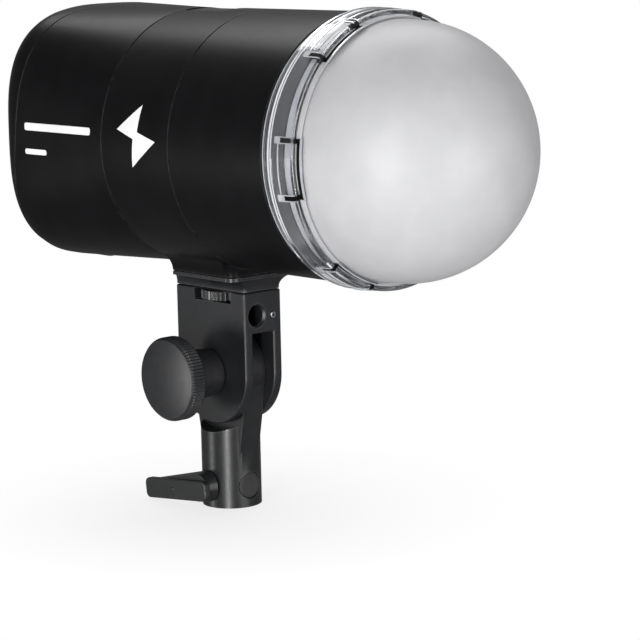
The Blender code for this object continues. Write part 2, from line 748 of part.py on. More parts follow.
def thumbwheel():
    outline = []
    for i in range(2 * WHEEL_RIBS):
        a = math.pi * i / WHEEL_RIBS
        reach = WHEEL_R - (WHEEL_RIB_DEEP if i % 2 else 0)
        outline.append((reach * math.cos(a), WHEEL_Y + reach * math.sin(a)))
    middle = (WHEEL_LOW + WHEEL_TOP) / 2
    made = plate("thumbwheel", outline, WHEEL_TOP - WHEEL_LOW, KNOB, "Z", middle)
    return cut(made, disc("wheel_bore", 0.0033, 0.05, 0.07, None, UPWARD, WHEEL, 20))


def mounting_screw():
    return disc("mounting_screw", 0.0030, 0.0568, 0.0770, STEEL, UPWARD, WHEEL, 20)


def neck_insert():
    return ring("neck_insert", 0.0033, 0.0055, 0.0693, 0.0775, BRASS, UPWARD, WHEEL, 24)


def tilt_knob():
    outline = [
        (0, 0.0310),
        (0.0100, 0.0308),
        (0.0155, 0.0301),
        (0.0168, 0.0290),
        (KNOB_R, 0.0278),
        (KNOB_R, 0.0236),
        (0.0162, 0.0226),
        (0.0110, 0.0222),
        (0.0095, 0.0101),
        (0, 0.0101),
    ]
    made = turned("tilt_knob", outline, KNOB, LEFTWARD, TILT, steps=32)
    return cut(made, disc("knob_bore", BOLT_HOLE_R, 0, 0.0243, None, LEFTWARD, TILT, 24))


def tilt_bolt():
    return disc("tilt_bolt", 0.0030, -0.0092, 0.0240, STEEL, LEFTWARD, TILT, 24)


def clamp_lever():
    """A wedge-shaped grip that widens into the hub, drawn tight round the points that bound it."""
    cage = bmesh.new()
    hub_r, hub_out, hub_in = 0.0064, 0.0185, 0.0128
    for i in range(24):
        a = math.tau * i / 24
        for x, reach in ((-hub_in, hub_r), (-hub_out, hub_r - 0.0010)):
            cage.verts.new((x, reach * math.cos(a), LEVER_Z + reach * math.sin(a)))
    for x, tip, half in ((-0.0205, 0.0262, 0.0030), (-0.0160, 0.0262, 0.0030), (-0.0205, -0.0050, 0.0030)):
        reach = half if tip > 0 else 0.0020
        sign = 1 if tip > 0 else -1
        for i in range(9):
            a = math.radians(-90 + 22.5 * i)
            cage.verts.new((x, tip + sign * reach * math.cos(a), LEVER_Z - 0.0007 + half * math.sin(a)))
    bmesh.ops.convex_hull(cage, input=cage.verts)
    mesh = bpy.data.meshes.new("clamp_lever")
    cage.to_mesh(mesh)
    cage.free()
    made = put("clamp_lever", mesh, METAL)
    cut(made, disc("lever_dimple", 0.0010, 0.0195, 0.03, None, LEFTWARD, (0, 0.0140, LEVER_Z - 0.0007), 12))
    return cut(made, disc("lever_bore", BOLT_HOLE_R, 0, 0.0176, None, LEFTWARD, CLAMP, 24))


def clamp_screw():
    return disc("clamp_screw", 0.0029, 0.0103, 0.0173, STEEL, LEFTWARD, CLAMP, 24)


def clamp_pad():
    return disc("clamp_pad", 0.0029, 0.0083, 0.0093, BRASS, LEFTWARD, CLAMP, 24)


# ---------------------------------------------------------------- assembly

tilt_axis = axis("tilt_axis", TILT)
knob_axis = axis("knob_axis", TILT, tilt_axis)
wheel_axis = axis("wheel_axis", (0, WHEEL_Y, WHEEL_LOW), tilt_axis)
fan_axis = axis("fan_axis", (0, FAN_Y, HEAD_Z), tilt_axis)
dome_axis = axis("dome_axis", (0, -SHELL_FRONT, HEAD_Z), tilt_axis)
flap_axis = axis("flap_axis", (0, 0.0574, 0.0703), tilt_axis)
screw_axis = axis("screw_axis", (UMBRELLA_SCREW[0], ARM_MID_Y - ARM_HALF_Y, UMBRELLA_SCREW[2]), tilt_axis)
lever_axis = axis("lever_axis", CLAMP)

fixed = [stand_mount(), stop_screw(), socket_plug(), *friction_washers()]
casing = [rear_shell(), rear_cover(), middle_shell(), front_shell(), sensor_window(), *display(), *ports()]
flash = [front_bezel(), reflector(), flash_tube(), tube_socket(), *modelling_light()]
inside = [bulkhead(), *capacitors(), *boards(), *battery(), fan_frame()]
bracket = [fork_arm(), saddle_plate(), tilt_nut(), neck_insert()]
bracket += [dowel("saddle_dowel_front", -1, 0.0015, look=STEEL)]
bracket += [dowel("saddle_dowel_rear", 1, 0.0015, look=STEEL)]

hang(casing + flash + inside + bracket, tilt_axis)
hang([button("power_button", -1), button("test_button", 1)], tilt_axis)
hang([dome(), dome_ring()], dome_axis)
hang([port_flap()], flap_axis)
hang([fan_rotor()], fan_axis)
hang([umbrella_screw()], screw_axis)
hang([thumbwheel(), mounting_screw()], wheel_axis)
hang([tilt_knob(), tilt_bolt()], knob_axis)
hang([clamp_lever(), clamp_screw()], lever_axis)
hang([clamp_pad()], lever_axis)

for piece in parts.objects:
    if piece.type == "MESH":
        smooth(piece)
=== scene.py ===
"""The looks of a compact battery monolight on its tilting stand bracket.

Meshes are worked out in millimetres in the frame's own axes and become metres in piece().
The head's axis runs along Y, the flash fires towards -Y, and "forward" means the distance -y.
"""

import json
import math

import bmesh
import bpy
from mathutils import Matrix, Vector


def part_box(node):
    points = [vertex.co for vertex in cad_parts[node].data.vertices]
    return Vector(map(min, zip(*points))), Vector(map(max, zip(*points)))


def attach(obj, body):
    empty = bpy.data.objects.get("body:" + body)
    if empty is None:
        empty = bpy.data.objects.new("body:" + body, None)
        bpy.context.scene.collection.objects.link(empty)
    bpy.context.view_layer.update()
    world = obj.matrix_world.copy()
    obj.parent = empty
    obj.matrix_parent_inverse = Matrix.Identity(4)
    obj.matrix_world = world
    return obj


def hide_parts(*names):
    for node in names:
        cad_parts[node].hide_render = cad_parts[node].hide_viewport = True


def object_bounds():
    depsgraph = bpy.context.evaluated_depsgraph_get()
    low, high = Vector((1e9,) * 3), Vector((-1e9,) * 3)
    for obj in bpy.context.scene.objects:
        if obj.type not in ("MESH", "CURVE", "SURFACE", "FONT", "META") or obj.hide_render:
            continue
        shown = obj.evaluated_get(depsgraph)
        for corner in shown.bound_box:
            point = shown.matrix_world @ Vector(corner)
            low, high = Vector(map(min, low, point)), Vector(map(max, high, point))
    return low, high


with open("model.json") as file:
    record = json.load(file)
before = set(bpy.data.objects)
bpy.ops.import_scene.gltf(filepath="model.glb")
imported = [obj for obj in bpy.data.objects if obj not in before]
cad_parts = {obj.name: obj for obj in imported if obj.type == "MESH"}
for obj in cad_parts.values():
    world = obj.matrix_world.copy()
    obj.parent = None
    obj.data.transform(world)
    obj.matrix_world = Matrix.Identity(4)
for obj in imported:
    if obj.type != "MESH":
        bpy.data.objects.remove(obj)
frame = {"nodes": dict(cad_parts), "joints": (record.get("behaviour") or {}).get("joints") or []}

MM = 0.001
CAD_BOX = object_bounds()


def box(node):
    """Lowest and highest corner of a CAD node, in millimetres."""
    low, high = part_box(node)
    return low / MM, high / MM


def pivot_of(joint):
    """The point a hinge turns about, in millimetres."""
    found = next(j for j in frame["joints"] if j["name"] == joint)
    return Vector(found["pos_m"]) / MM


# ---- sizes

# Head, from the casing nodes
FRONT_LOW, FRONT_HIGH = box("front_shell")
HEAD_Z = (FRONT_LOW.z + FRONT_HIGH.z) / 2
HEAD_R = (FRONT_HIGH.x - FRONT_LOW.x) / 2
SHELL_FRONT = FRONT_LOW.y
SEAM_FRONT = (FRONT_HIGH.y + box("middle_shell")[0].y) / 2
SEAM_REAR = (box("middle_shell")[1].y + box("rear_shell")[0].y) / 2
REAR_END = box("rear_cover")[1].y
REAR_SWELL = box("rear_cover")[1].x - HEAD_R
WALL = 2.4
REAR_SQUARENESS = 3.0
FILLET_LONG = 12.5
FILLET_DEEP = 11.0
SHOULDER = REAR_END - FILLET_LONG
STRAIGHT = SHOULDER - SEAM_REAR
FILLET_PATH = math.pi / 2 * math.sqrt((FILLET_LONG**2 + FILLET_DEEP**2) / 2)
COVER_SEAM = 69.0
COVER_LEAN = math.tan(math.radians(8))
HALF_GAP = 0.16
SEAM_ROUND = 0.35
TONGUE_LONG = 2.5
TONGUE_TOP = 1.40
TONGUE_LOW = 2.25
REBATE = 1.28

# Dome and clear ring, forward of the origin
RING_BACK = -box("dome_ring")[1].y
RING_R = box("dome_ring")[1].x
RING_TOP = 100.4
RING_BULGE = 53.2
SKIRT_R = 50.2
SKIRT_TOP = 102.5
DOME_R = box("dome")[1].x
DOME_TIP = -box("dome")[0].y
DOME_CENTRE = DOME_TIP - DOME_R
DOME_WALL = 1.8
TABS = 6
TAB_TURN = math.radians(-3)
TAB_HALF = 11.1
SLOT_WIDE = 1.9
TAB_REACH = math.radians(TAB_HALF) * RING_BULGE
SLOT_BACK = 94.3
SLOT_FRONT = 101.5
GAP_BACK = 100.6
GAP_FRONT = 102.3
RIM_PROUD = 0.3

# Bracket
TILT = pivot_of("head_tilt")
CLAMP = pivot_of("clamp_lever_turn")
WHEEL = pivot_of("thumbwheel_turn")
ARM_LOW, ARM_HIGH = box("fork_arm")
SADDLE_LOW, SADDLE_HIGH = box("saddle_plate")
TUBE_R = 12.15
KNOB_R = box("tilt_knob")[1].y
KNOB_PROUD = 3.0
BOLT_R = 3.3
DOWEL_R = 1.8
DOWEL_OUT = 9.3
GAP_HALF = 5.5
GAP_TOP = 44.2
TONGUE_HALF = 5.2
TONGUE_R = 16.5
SHOULDER_R = 24.5
SOCKET_R = 8.1
LEVER_HALF = 4.2
LEVER_LONGER = 2.4
LEVER_DROOP = math.radians(-6)

# Steps round the head
AROUND = 128


# ---- mesh helpers


def arc(middle, radius, first, last, count):
    """Points on a circle, angles in degrees."""
    angles = [math.radians(first + (last - first) * i / count) for i in range(count + 1)]
    return [(middle[0] + radius * math.cos(a), middle[1] + radius * math.sin(a)) for a in angles]


def rounded(corners, steps=4):
    """A closed outline: each (u, v, radius) corner becomes an arc, and a (u, v) corner stays sharp."""
    outline = []
    count = len(corners)
    for i, corner in enumerate(corners):
        here = Vector(corner[:2])
        radius = corner[2] if len(corner) > 2 else 0
        if not radius:
            outline.append(tuple(here))
            continue
        before = (Vector(corners[i - 1][:2]) - here).normalized()
        after = (Vector(corners[(i + 1) % count][:2]) - here).normalized()
        half = before.angle(after) / 2
        reach = radius / math.tan(half)
        centre = here + (before + after).normalized() * radius / math.sin(half)
        start = here + before * reach - centre
        sweep = start.angle_signed(here + after * reach - centre)
        for step in range(steps + 1):
            outline.append(tuple(centre + Matrix.Rotation(-sweep * step / steps, 2) @ start))
    return outline


def full_turn(steps):
    """Angles at even steps round a circle."""
    return [math.tau * i / steps for i in range(steps)]


def skin(rows, close_rows=False, close_ends=False):
    """A skin through rows of points. A row of one point is a pole, and each longer row is a loop."""
    mesh = bmesh.new()
    made = [[mesh.verts.new(point) for point in row] for row in rows]
    pairs = list(zip(made, made[1:]))
    if close_rows:
        pairs.append((made[-1], made[0]))
    for near, far in pairs:
        count = max(len(near), len(far))
        for i in range(count):
            j = (i + 1) % count
            corners = [near[i % len(near)], near[j % len(near)], far[j % len(far)], far[i % len(far)]]
            mesh.faces.new(list(dict.fromkeys(corners)))
    if close_ends:
        for row in (made[0], made[-1]):
            mesh.faces.new(row)
    bmesh.ops.recalc_face_normals(mesh, faces=mesh.faces)
    return mesh


def turned(outline, place, steps=AROUND, closed=True):
    """A (radius, height) outline swept round an axis; place turns (x, y, height) into the frame's axes."""
    rows = []
    for radius, height in outline:
        if radius < 1e-6:
            rows.append([place((0, 0, height))])
            continue
        rows.append([place((radius * math.cos(a), radius * math.sin(a), height)) for a in full_turn(steps)])
    return skin(rows, close_rows=closed)


def cylinder(radius, top, base, place, steps):
    return turned([(0, top), (radius, top), (radius, base), (0, base)], place, steps, closed=False)


def frontward(point):
    """Heights run forward from the origin, along the head's axis."""
    return (point[0], -point[2], HEAD_Z + point[1])


def rearward(x, z):
    return lambda point: (x - point[0], point[2], z + point[1])


def leftward(y, z):
    """Heights run towards -X, the side of the knob and the lever."""
    return lambda point: (-point[2], y + point[0], z + point[1])


def forward_at(x, z):
    return lambda point: (x + point[0], -point[2], z + point[1])


def upward(x, y):
    return lambda point: (x + point[0], y + point[1], point[2])


AT_TILT = leftward(TILT.y, TILT.z)
AT_CLAMP = leftward(CLAMP.y, CLAMP.z)
AT_WHEEL = upward(0, WHEEL.y)


def prism(outline, low, high, place):
    """A flat outline given thickness between two heights."""
    return skin([[place((u, v, h)) for u, v in outline] for h in (low, high)], close_ends=True)


def flat_x(point):
    """Outline in (y, z), height along X."""
    return (point[2], point[0], point[1])


def flat_y(point):
    """Outline in (x, z), height along Y."""
    return (point[0], point[2], point[1])


def flat_z(point):
    return point


def box_outline(left, right, low, high, corner, steps=3):
    corners = [(left, low), (right, low), (right, high), (left, high)]
    return rounded([(u, v, corner) for u, v in corners], steps)


def inset(low, high, margin, corner, steps=3):
    """A rounded rectangle that stays a margin inside two corners."""
    return box_outline(low[0] + margin, high[0] - margin, low[1] + margin, high[1] - margin, corner, steps)


def slab(low, high, corner=0.0):
    """A box between two corners whose upright edges can be rounded."""
    return prism(inset(low, high, 0, corner, 4), low[2], high[2], flat_z)


def stored(mesh, name):
    """The working mesh turned into Blender's mesh data."""
    data = bpy.data.meshes.new(name)
    mesh.to_mesh(data)
    mesh.free()
    return data


def placed(name, data):
    """A new object in the scene."""
    made = bpy.data.objects.new(name, data)
    bpy.context.scene.collection.objects.link(made)
    return made


def holder(mesh, name="working"):
    return placed(name, stored(mesh, name))


def evaluated(made):
    """The object's mesh after its modifiers, as a bmesh. The object is removed."""
    bpy.context.view_layer.update()
    graph = bpy.context.evaluated_depsgraph_get()
    result = bmesh.new()
    result.from_mesh(made.evaluated_get(graph).to_mesh())
    bpy.data.objects.remove(made)
    return result


def combined(mesh, operation, *others):
    """The solid joined with others, or with them cut away."""
    made = holder(mesh)
    helpers = [holder(other, "helper") for other in others]
    for helper in helpers:
        change = made.modifiers.new("Change", "BOOLEAN")
        change.operation = operation
        change.solver = "EXACT"
        change.object = helper
    result = evaluated(made)
    for helper in helpers:
        bpy.data.objects.remove(helper)
    return result


def cut(mesh, *others):
    return combined(mesh, "DIFFERENCE", *others)


def join(mesh, *others):
    return combined(mesh, "UNION", *others)


def softened(mesh, width, segments=3, degrees=30):
    """Its sharp edges rounded."""
    made = holder(mesh)
    bevel = made.modifiers.new("Round", "BEVEL")
    bevel.width = width
    bevel.segments = segments
    bevel.limit_method = "ANGLE"
    bevel.angle_limit = math.radians(degrees)
    bevel.use_clamp_overlap = True
    return evaluated(made)


def sliced(mesh, axis, first, last, pitch):
    """The mesh with extra edges at even steps along one axis, so that it can be bent."""
    normal = [0, 0, 0]
    normal[axis] = 1
    count = max(1, round((last - first) / pitch))
    for i in range(1, count):
        point = [0, 0, 0]
        point[axis] = first + (last - first) * i / count
        everything = mesh.verts[:] + mesh.edges[:] + mesh.faces[:]
        bmesh.ops.bisect_plane(mesh, geom=everything, plane_co=point, plane_no=normal)
    return mesh


def bent(mesh, rule):
    for vert in mesh.verts:
        vert.co = rule(vert.co)
    bmesh.ops.recalc_face_normals(mesh, faces=mesh.faces)
    return mesh


def wrapped(outline, low, high, pitches, rule):
    """An outline given thickness, sliced at a pitch along each listed axis, and bent by a rule."""
    flat = prism(outline, low, high, flat_z)
    for axis, pitch in enumerate(pitches):
        along = [point[axis] for point in outline]
        flat = sliced(flat, axis, min(along), max(along), pitch)
    return bent(flat, rule)


def merged(meshes):
    """Separate solids gathered into one mesh."""
    result = bmesh.new()
    for mesh in meshes:
        data = stored(mesh, "part")
        result.from_mesh(data)
        bpy.data.meshes.remove(data)
    return result


def piece(name, mesh, look, body, replaced=None, degrees=32):
    """A finished object in metres that rides on a body and can stand for a CAD node."""
    for vert in mesh.verts:
        vert.co *= MM
    bmesh.ops.remove_doubles(mesh, verts=mesh.verts, dist=1e-7)
    bmesh.ops.dissolve_degenerate(mesh, edges=mesh.edges, dist=1e-7)
    data = stored(mesh, name)
    data.shade_smooth()
    data.set_sharp_from_angle(angle=math.radians(degrees))
    made = placed(name, data)
    data.materials.append(look)
    even = made.modifiers.new("Even", "WEIGHTED_NORMAL")
    even.keep_sharp = True
    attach(made, body)
    if replaced:
        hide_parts(replaced)


# ---- materials


def node(tree, kind, inputs=None, **settings):
    """A shader node; an input that is another node's socket is linked, and any other value is set."""
    made = tree.nodes.new("ShaderNode" + kind)
    for key, value in settings.items():
        setattr(made, key, value)
    for key, value in (inputs or {}).items():
        if isinstance(value, bpy.types.NodeSocket):
            tree.links.new(value, made.inputs[key])
        else:
            made.inputs[key].default_value = value
    return made


def noise(tree, place, size, detail=3.0, rough=0.55):
    """Noise whose features are about size millimetres across."""
    settings = {"Vector": place, "Scale": 1 / (size * MM), "Detail": detail, "Roughness": rough}
    return node(tree, "TexNoise", settings).outputs[0]


def ranged(tree, value, low, high, first, last):
    settings = {"Value": value, "From Min": low, "From Max": high, "To Min": first, "To Max": last}
    return node(tree, "MapRange", settings, clamp=True).outputs[0]


def product(tree, first, second):
    return node(tree, "Math", {0: first, 1: second}, operation="MULTIPLY").outputs[0]


def blended(tree, share, first, second):
    """A mix of two colours, each a node's socket or three numbers."""
    inputs = {"Fac": share, "Color1": first, "Color2": second}
    for key in ("Color1", "Color2"):
        if not isinstance(inputs[key], bpy.types.NodeSocket):
            inputs[key] = (*inputs[key], 1)
    return node(tree, "MixRGB", inputs).outputs[0]


def surface(name, dark, light, roughness, spread=0.08, grain=0.30, bump=0.15, wear_and_highlight=0.3, stretch=None, **more):
    """A finish with mottled colour, uneven gloss, a fine grain, and edges made lighter and smoother: partly
    wear, partly painted highlight on the bevels.
    """
    made = bpy.data.materials.new(name)
    made.use_nodes = True
    tree = made.node_tree
    shader = tree.nodes["Principled BSDF"]
    place = node(tree, "TexCoord").outputs["Object"]
    fine_place = place
    if stretch:
        fine_place = node(tree, "Mapping", {"Vector": place, "Scale": stretch}).outputs[0]
    cloud = noise(tree, place, 14)
    speck = noise(tree, fine_place, grain * 4, 4, 0.7)
    fine = noise(tree, fine_place, grain, 2)
    colour = blended(tree, ranged(tree, cloud, 0.35, 0.65, 0, 1), dark, light)
    rounder = node(tree, "Bevel", {"Radius": 0.0007}, samples=3).outputs[0]
    plain = node(tree, "NewGeometry").outputs["Normal"]
    facing = node(tree, "VectorMath", {0: rounder, 1: plain}, operation="DOT_PRODUCT").outputs["Value"]
    edges = ranged(tree, facing, 0.80, 0.985, 1, 0)
    # Edge mask scaled by the last argument: the lighter colour there is partly wear and partly painted
    # highlight, standing in for light caught on bevels and seams.
    worn_and_highlit_edges = product(tree, edges, ranged(tree, noise(tree, place, 3), 0.3, 0.7, 0.2, 1))
    worn_and_highlit_edges = product(tree, worn_and_highlit_edges, wear_and_highlight)
    worn_and_highlit_colour = tuple(min(1, 0.10 + 1.6 * c) for c in light)
    tree.links.new(blended(tree, worn_and_highlit_edges, colour, worn_and_highlit_colour), shader.inputs["Base Color"])
    gloss = ranged(tree, speck, 0.3, 0.7, roughness - spread, roughness + spread)
    gloss = node(tree, "Math", {0: gloss, 1: product(tree, worn_and_highlit_edges, 0.25)}, operation="SUBTRACT").outputs[0]
    tree.links.new(gloss, shader.inputs["Roughness"])
    relief = node(tree, "Bump", {"Strength": bump, "Distance": 0.0001, "Height": fine})
    tree.links.new(relief.outputs[0], shader.inputs["Normal"])
    for key, value in more.items():
        shader.inputs[key.replace("_", " ")].default_value = value
    return made


def frosted():
    """Sandblasted acrylic: milky, slightly see-through to light, with a very fine tooth."""
    made = surface("frosted_acrylic", (0.43, 0.43, 0.442), (0.46, 0.46, 0.472), 0.46, 0.05, 0.12, 0.10, 0)
    shader = made.node_tree.nodes["Principled BSDF"]
    shader.inputs["Subsurface Weight"].default_value = 0.25
    shader.inputs["Subsurface Radius"].default_value = (0.004, 0.004, 0.004)
    shader.inputs["Subsurface Scale"].default_value = 1.0
    return made


def clear_plastic():
    """Water-clear polycarbonate with faint moulding haze."""
    look = {"Transmission_Weight": 0.985, "IOR": 1.40}
    dark, light = (0.86, 0.88, 0.92), (0.92, 0.93, 0.95)
    return surface("clear_polycarbonate", dark, light, 0.07, 0.04, 0.8, 0.05, 0, **look)


def glossy_black(name, roughness=0.10):
    return surface(name, (0.006, 0.006, 0.008), (0.010, 0.010, 0.012), roughness, 0.03, 0.6, 0.02, 0.1)


def metal(name, dark, light, roughness, **more):
    return surface(name, dark, light, roughness, 0.08, 0.20, 0.12, 0.25, Metallic=1.0, **more)


def circuit_board(name):
    """Green solder mask with paler copper lanes showing through it."""
    made = surface(name, (0.010, 0.060, 0.026), (0.014, 0.085, 0.036), 0.38, 0.06, 0.4, 0.1, 0.2)
    tree = made.node_tree
    shader = tree.nodes["Principled BSDF"]
    mask = shader.inputs["Base Color"].links[0].from_socket
    place = node(tree, "TexCoord").outputs["Object"]
    lanes = node(tree, "TexBrick", {"Vector": place, "Scale": 160.0, "Mortar Size": 0.03}, offset=0.37)
    lit = ranged(tree, lanes.outputs["Fac"], 0, 1, 0, 0.6)
    tree.links.new(blended(tree, lit, mask, (0.06, 0.22, 0.09)), shader.inputs["Base Color"])
    return made


# Its strong edge lightening (0.60) is painted highlight along the seams and bevels, not wear.
SHELL = surface(
    "moulded_black_shell", (0.0030, 0.0030, 0.0036), (0.0044, 0.0044, 0.0052), 0.36, 0.04, 0.28, 0.10, 0.60,
    Specular_IOR_Level=0.13,
)
COLLAR = surface(
    "moulded_black_collar", (0.008, 0.008, 0.009), (0.012, 0.012, 0.013), 0.50, 0.06, 0.35, 0.2, 0.15
)
# BRACKET and CAST: their strong edge lightening (0.8 and 0.6) is painted highlight on the bevels.
BRACKET = surface(
    "black_glass_filled_nylon", (0.0085, 0.0090, 0.0105), (0.0115, 0.0120, 0.0138), 0.34, 0.04, 0.42, 0.20, 0.8
)
CAST = surface(
    "black_painted_casting", (0.0090, 0.0095, 0.0105), (0.0125, 0.0130, 0.0140), 0.34, 0.04, 0.42, 0.10, 0.6
)
GRIP = surface("black_grip_nylon", (0.014, 0.0145, 0.016), (0.019, 0.0195, 0.021), 0.32, 0.05, 0.32, 0.22, 0.35)
RUBBER = surface("black_rubber", (0.016, 0.016, 0.016), (0.024, 0.024, 0.024), 0.72, 0.08, 0.25, 0.35, 0.3)
# Near-black fill for the ring's slots and gap lines: painted shade for the dark seen in them.
SLOT_SHADE = surface(
    "painted_slot_shade", (0.002, 0.002, 0.002), (0.003, 0.003, 0.003), 0.9, 0.05, 0.3, 0.2, 0,
    Specular_IOR_Level=0.1,
)
BAND = surface("dark_band", (0.012, 0.013, 0.017), (0.018, 0.019, 0.024), 0.5, 0.05, 0.3, 0.1, 0.1)
# Light colour for the raised rims by the clear ring: painted highlight standing in for light caught on its
# edges.
HIGHLIGHT_RIM = surface(
    "painted_highlight_rim", (0.62, 0.64, 0.67), (0.74, 0.76, 0.79), 0.20, 0.05, 0.5, 0.05, 0, Transmission_Weight=0.55
)
FROSTED = frosted()
CLEAR = clear_plastic()
SCREEN = glossy_black("screen_glass")
LENS = glossy_black("sensor_lens", 0.14)
STEEL = metal("plated_steel", (0.42, 0.43, 0.45), (0.52, 0.53, 0.55), 0.28)
BRASS = metal("brass", (0.62, 0.44, 0.20), (0.74, 0.55, 0.27), 0.30)
MIRROR = metal("spun_reflector", (0.84, 0.84, 0.84), (0.90, 0.90, 0.90), 0.16, stretch=(1, 1, 12))
ALUMINIUM = metal("aluminium", (0.56, 0.57, 0.58), (0.66, 0.67, 0.68), 0.36)
PRINT = surface("white_print", (0.78, 0.78, 0.78), (0.84, 0.84, 0.84), 0.50, 0.05, 0.2, 0.1, 0)
GREY_PRINT = surface("grey_print", (0.22, 0.22, 0.23), (0.28, 0.28, 0.29), 0.50, 0.05, 0.2, 0.1, 0)
SLEEVE = surface("cell_sleeve", (0.03, 0.06, 0.20), (0.04, 0.08, 0.26), 0.32, 0.06, 0.6, 0.1, 0.3)
CERAMIC = surface("ceramic", (0.70, 0.69, 0.65), (0.80, 0.79, 0.75), 0.55, 0.1, 0.3, 0.3, 0.1)
BOARD = circuit_board("solder_mask")
TUBE_GLASS = surface(
    "tube_glass", (0.88, 0.90, 0.90), (0.94, 0.95, 0.95), 0.06, 0.03, 1.0, 0.03, 0,
    Transmission_Weight=0.85, IOR=1.46,
)
LED = surface("led_dome", (0.85, 0.74, 0.34), (0.92, 0.84, 0.48), 0.30, 0.06, 0.3, 0.1, 0)


# ---- head casing


def casing_power(y):
    """The rear casing grows from a circle at its seam into a rounded square at the back."""
    along = min(1.0, max(0.0, (y - SEAM_REAR) / STRAIGHT))
    return 2 / (2 + (REAR_SQUARENESS - 2) * along), along


def raised(value, power):
    """A power that keeps the value's sign."""
    return math.copysign(abs(value) ** power, value)


def casing_point(turn, path, depth=0.0):
    """A point on the rear casing: path runs back from its seam and over the fillet, depth goes inwards."""
    bend = min(1.0, max(0.0, (path - STRAIGHT) / FILLET_PATH)) * math.pi / 2
    beyond = max(0.0, path - STRAIGHT - FILLET_PATH)
    y = SEAM_REAR + min(path, STRAIGHT) + FILLET_LONG * math.sin(bend) - depth * math.sin(bend)
    power, along = casing_power(min(y, SHOULDER))
    inset = FILLET_DEEP * (1 - math.cos(bend)) + depth * math.cos(bend) + beyond
    reach = HEAD_R + REAR_SWELL * along - inset
    return (raised(math.cos(turn), power) * reach, y, HEAD_Z + raised(math.sin(turn), power) * reach)


def cover_seam_path(turn):
    """How far along the casing the leaning seam of the rear cover lies, found by halving."""
    near, far = 0.0, STRAIGHT + FILLET_PATH
    for _ in range(30):
        middle = (near + far) / 2
        _, y, z = casing_point(turn, middle)
        if y < COVER_SEAM - COVER_LEAN * (z - HEAD_Z):
            near = middle
        else:
            far = middle
    return near


def subdivided(corners, steps=14):
    """The corners, with extra points along the first edge so that it can follow a curve."""
    (u0, v0, _), (u1, v1, _) = corners[:2]
    shares = [i / steps for i in range(1, steps)]
    return [corners[0]] + [(u0 + (u1 - u0) * s, v0 + (v1 - v0) * s) for s in shares] + corners[1:]


def rear_shell():
    rows = []
    under = TONGUE_LONG + 0.3
    for turn in full_turn(AROUND):
        last = cover_seam_path(turn) - HALF_GAP
        corners = [(HALF_GAP, 0, SEAM_ROUND), (last, 0, SEAM_ROUND), (last, REBATE)]
        corners += [(last - under, REBATE), (last - under, WALL), (HALF_GAP + under, WALL)]
        corners += [(HALF_GAP + under, REBATE), (HALF_GAP, REBATE)]
        rows.append([casing_point(turn, path, depth) for path, depth in rounded(subdivided(corners))])
    made = skin(rows, close_rows=True)
    low, high = box("port_flap")
    recess = slab((low.x - 0.3, low.y - 0.5, 60), (high.x + 0.3, high.y + 0.3, high.z + 0.3), 1.0)
    window = slab((-12, 59, 60), (12, 66, 78), 1.0)
    nick = slab((-4, high.y - 1, 60), (4, high.y + 1.6, high.z + 0.1), 1.2)
    vents = [slab(((i - 2) * 6 - 1.1, 20, 60), ((i - 2) * 6 + 1.1, 44, 78), 1.05) for i in range(5)]
    top_mark = slab((-2.5, 51.2, HEAD_Z + HEAD_R), (2.5, 52.4, HEAD_Z + HEAD_R + 4), 0.55)
    made = cut(made, recess, window, nick, *vents, top_mark)
    piece("rear_casing", made, SHELL, "head", "rear_shell")


def rear_cover():
    """The back cap, with a tongue that reaches under the casing; back_panel cuts its recess for the display
    glass.
    """
    rows = []
    edge = STRAIGHT + FILLET_PATH
    for turn in full_turn(AROUND):
        first = cover_seam_path(turn) + HALF_GAP
        outer = [(first + (edge - first) * s / 12, 0) for s in range(1, 12)]
        corners = [(first, 0, SEAM_ROUND), *outer, (edge, 0), (edge + 12, 0), (edge + 12, WALL), (edge, WALL)]
        inner = [(first + (edge - first) * (1 - s / 8), WALL) for s in range(1, 8)]
        corners += inner + [(first + 1.5, WALL), (first - TONGUE_LONG, TONGUE_LOW)]
        corners += [(first - TONGUE_LONG, TONGUE_TOP), (first, TONGUE_TOP)]
        rows.append([casing_point(turn, path, depth) for path, depth in rounded(corners)])
    return skin(rows, close_rows=True)


def back_panel():
    """The cover with a plate that closes its rim, recessed for the glass and bored for the keys."""
    edge = STRAIGHT + FILLET_PATH + 11.5
    rim = [[casing_point(turn, edge, depth) for turn in full_turn(AROUND)] for depth in (0.0, WALL)]
    cover = join(rear_cover(), skin(rim, close_ends=True))
    low, high = box("display_glass")
    recess = prism(inset(low.xz, high.xz, -0.25, 2.6, 4), low.y - 0.3, 90, flat_y)
    window = prism(box_outline(-27, 27, low.z + 4, high.z - 4, 1, 4), 76, 90, flat_y)
    holes = []
    for name in ("power_button", "test_button"):
        low, high = box(name)
        middle = (low + high) / 2
        bore = [(0, 76), (5.3, 76), (5.3, 81.0), (5.9, 82.4), (0, 82.4)]
        holes.append(turned(bore, rearward(middle.x, middle.z), 48, closed=False))
    made = cut(cover, recess, window, *holes)
    piece("rear_cap", made, SHELL, "head", "rear_cover")


def ring_section(outline, name, look, body, replaced):
    piece(name, turned(rounded(outline), frontward), look, body, replaced)


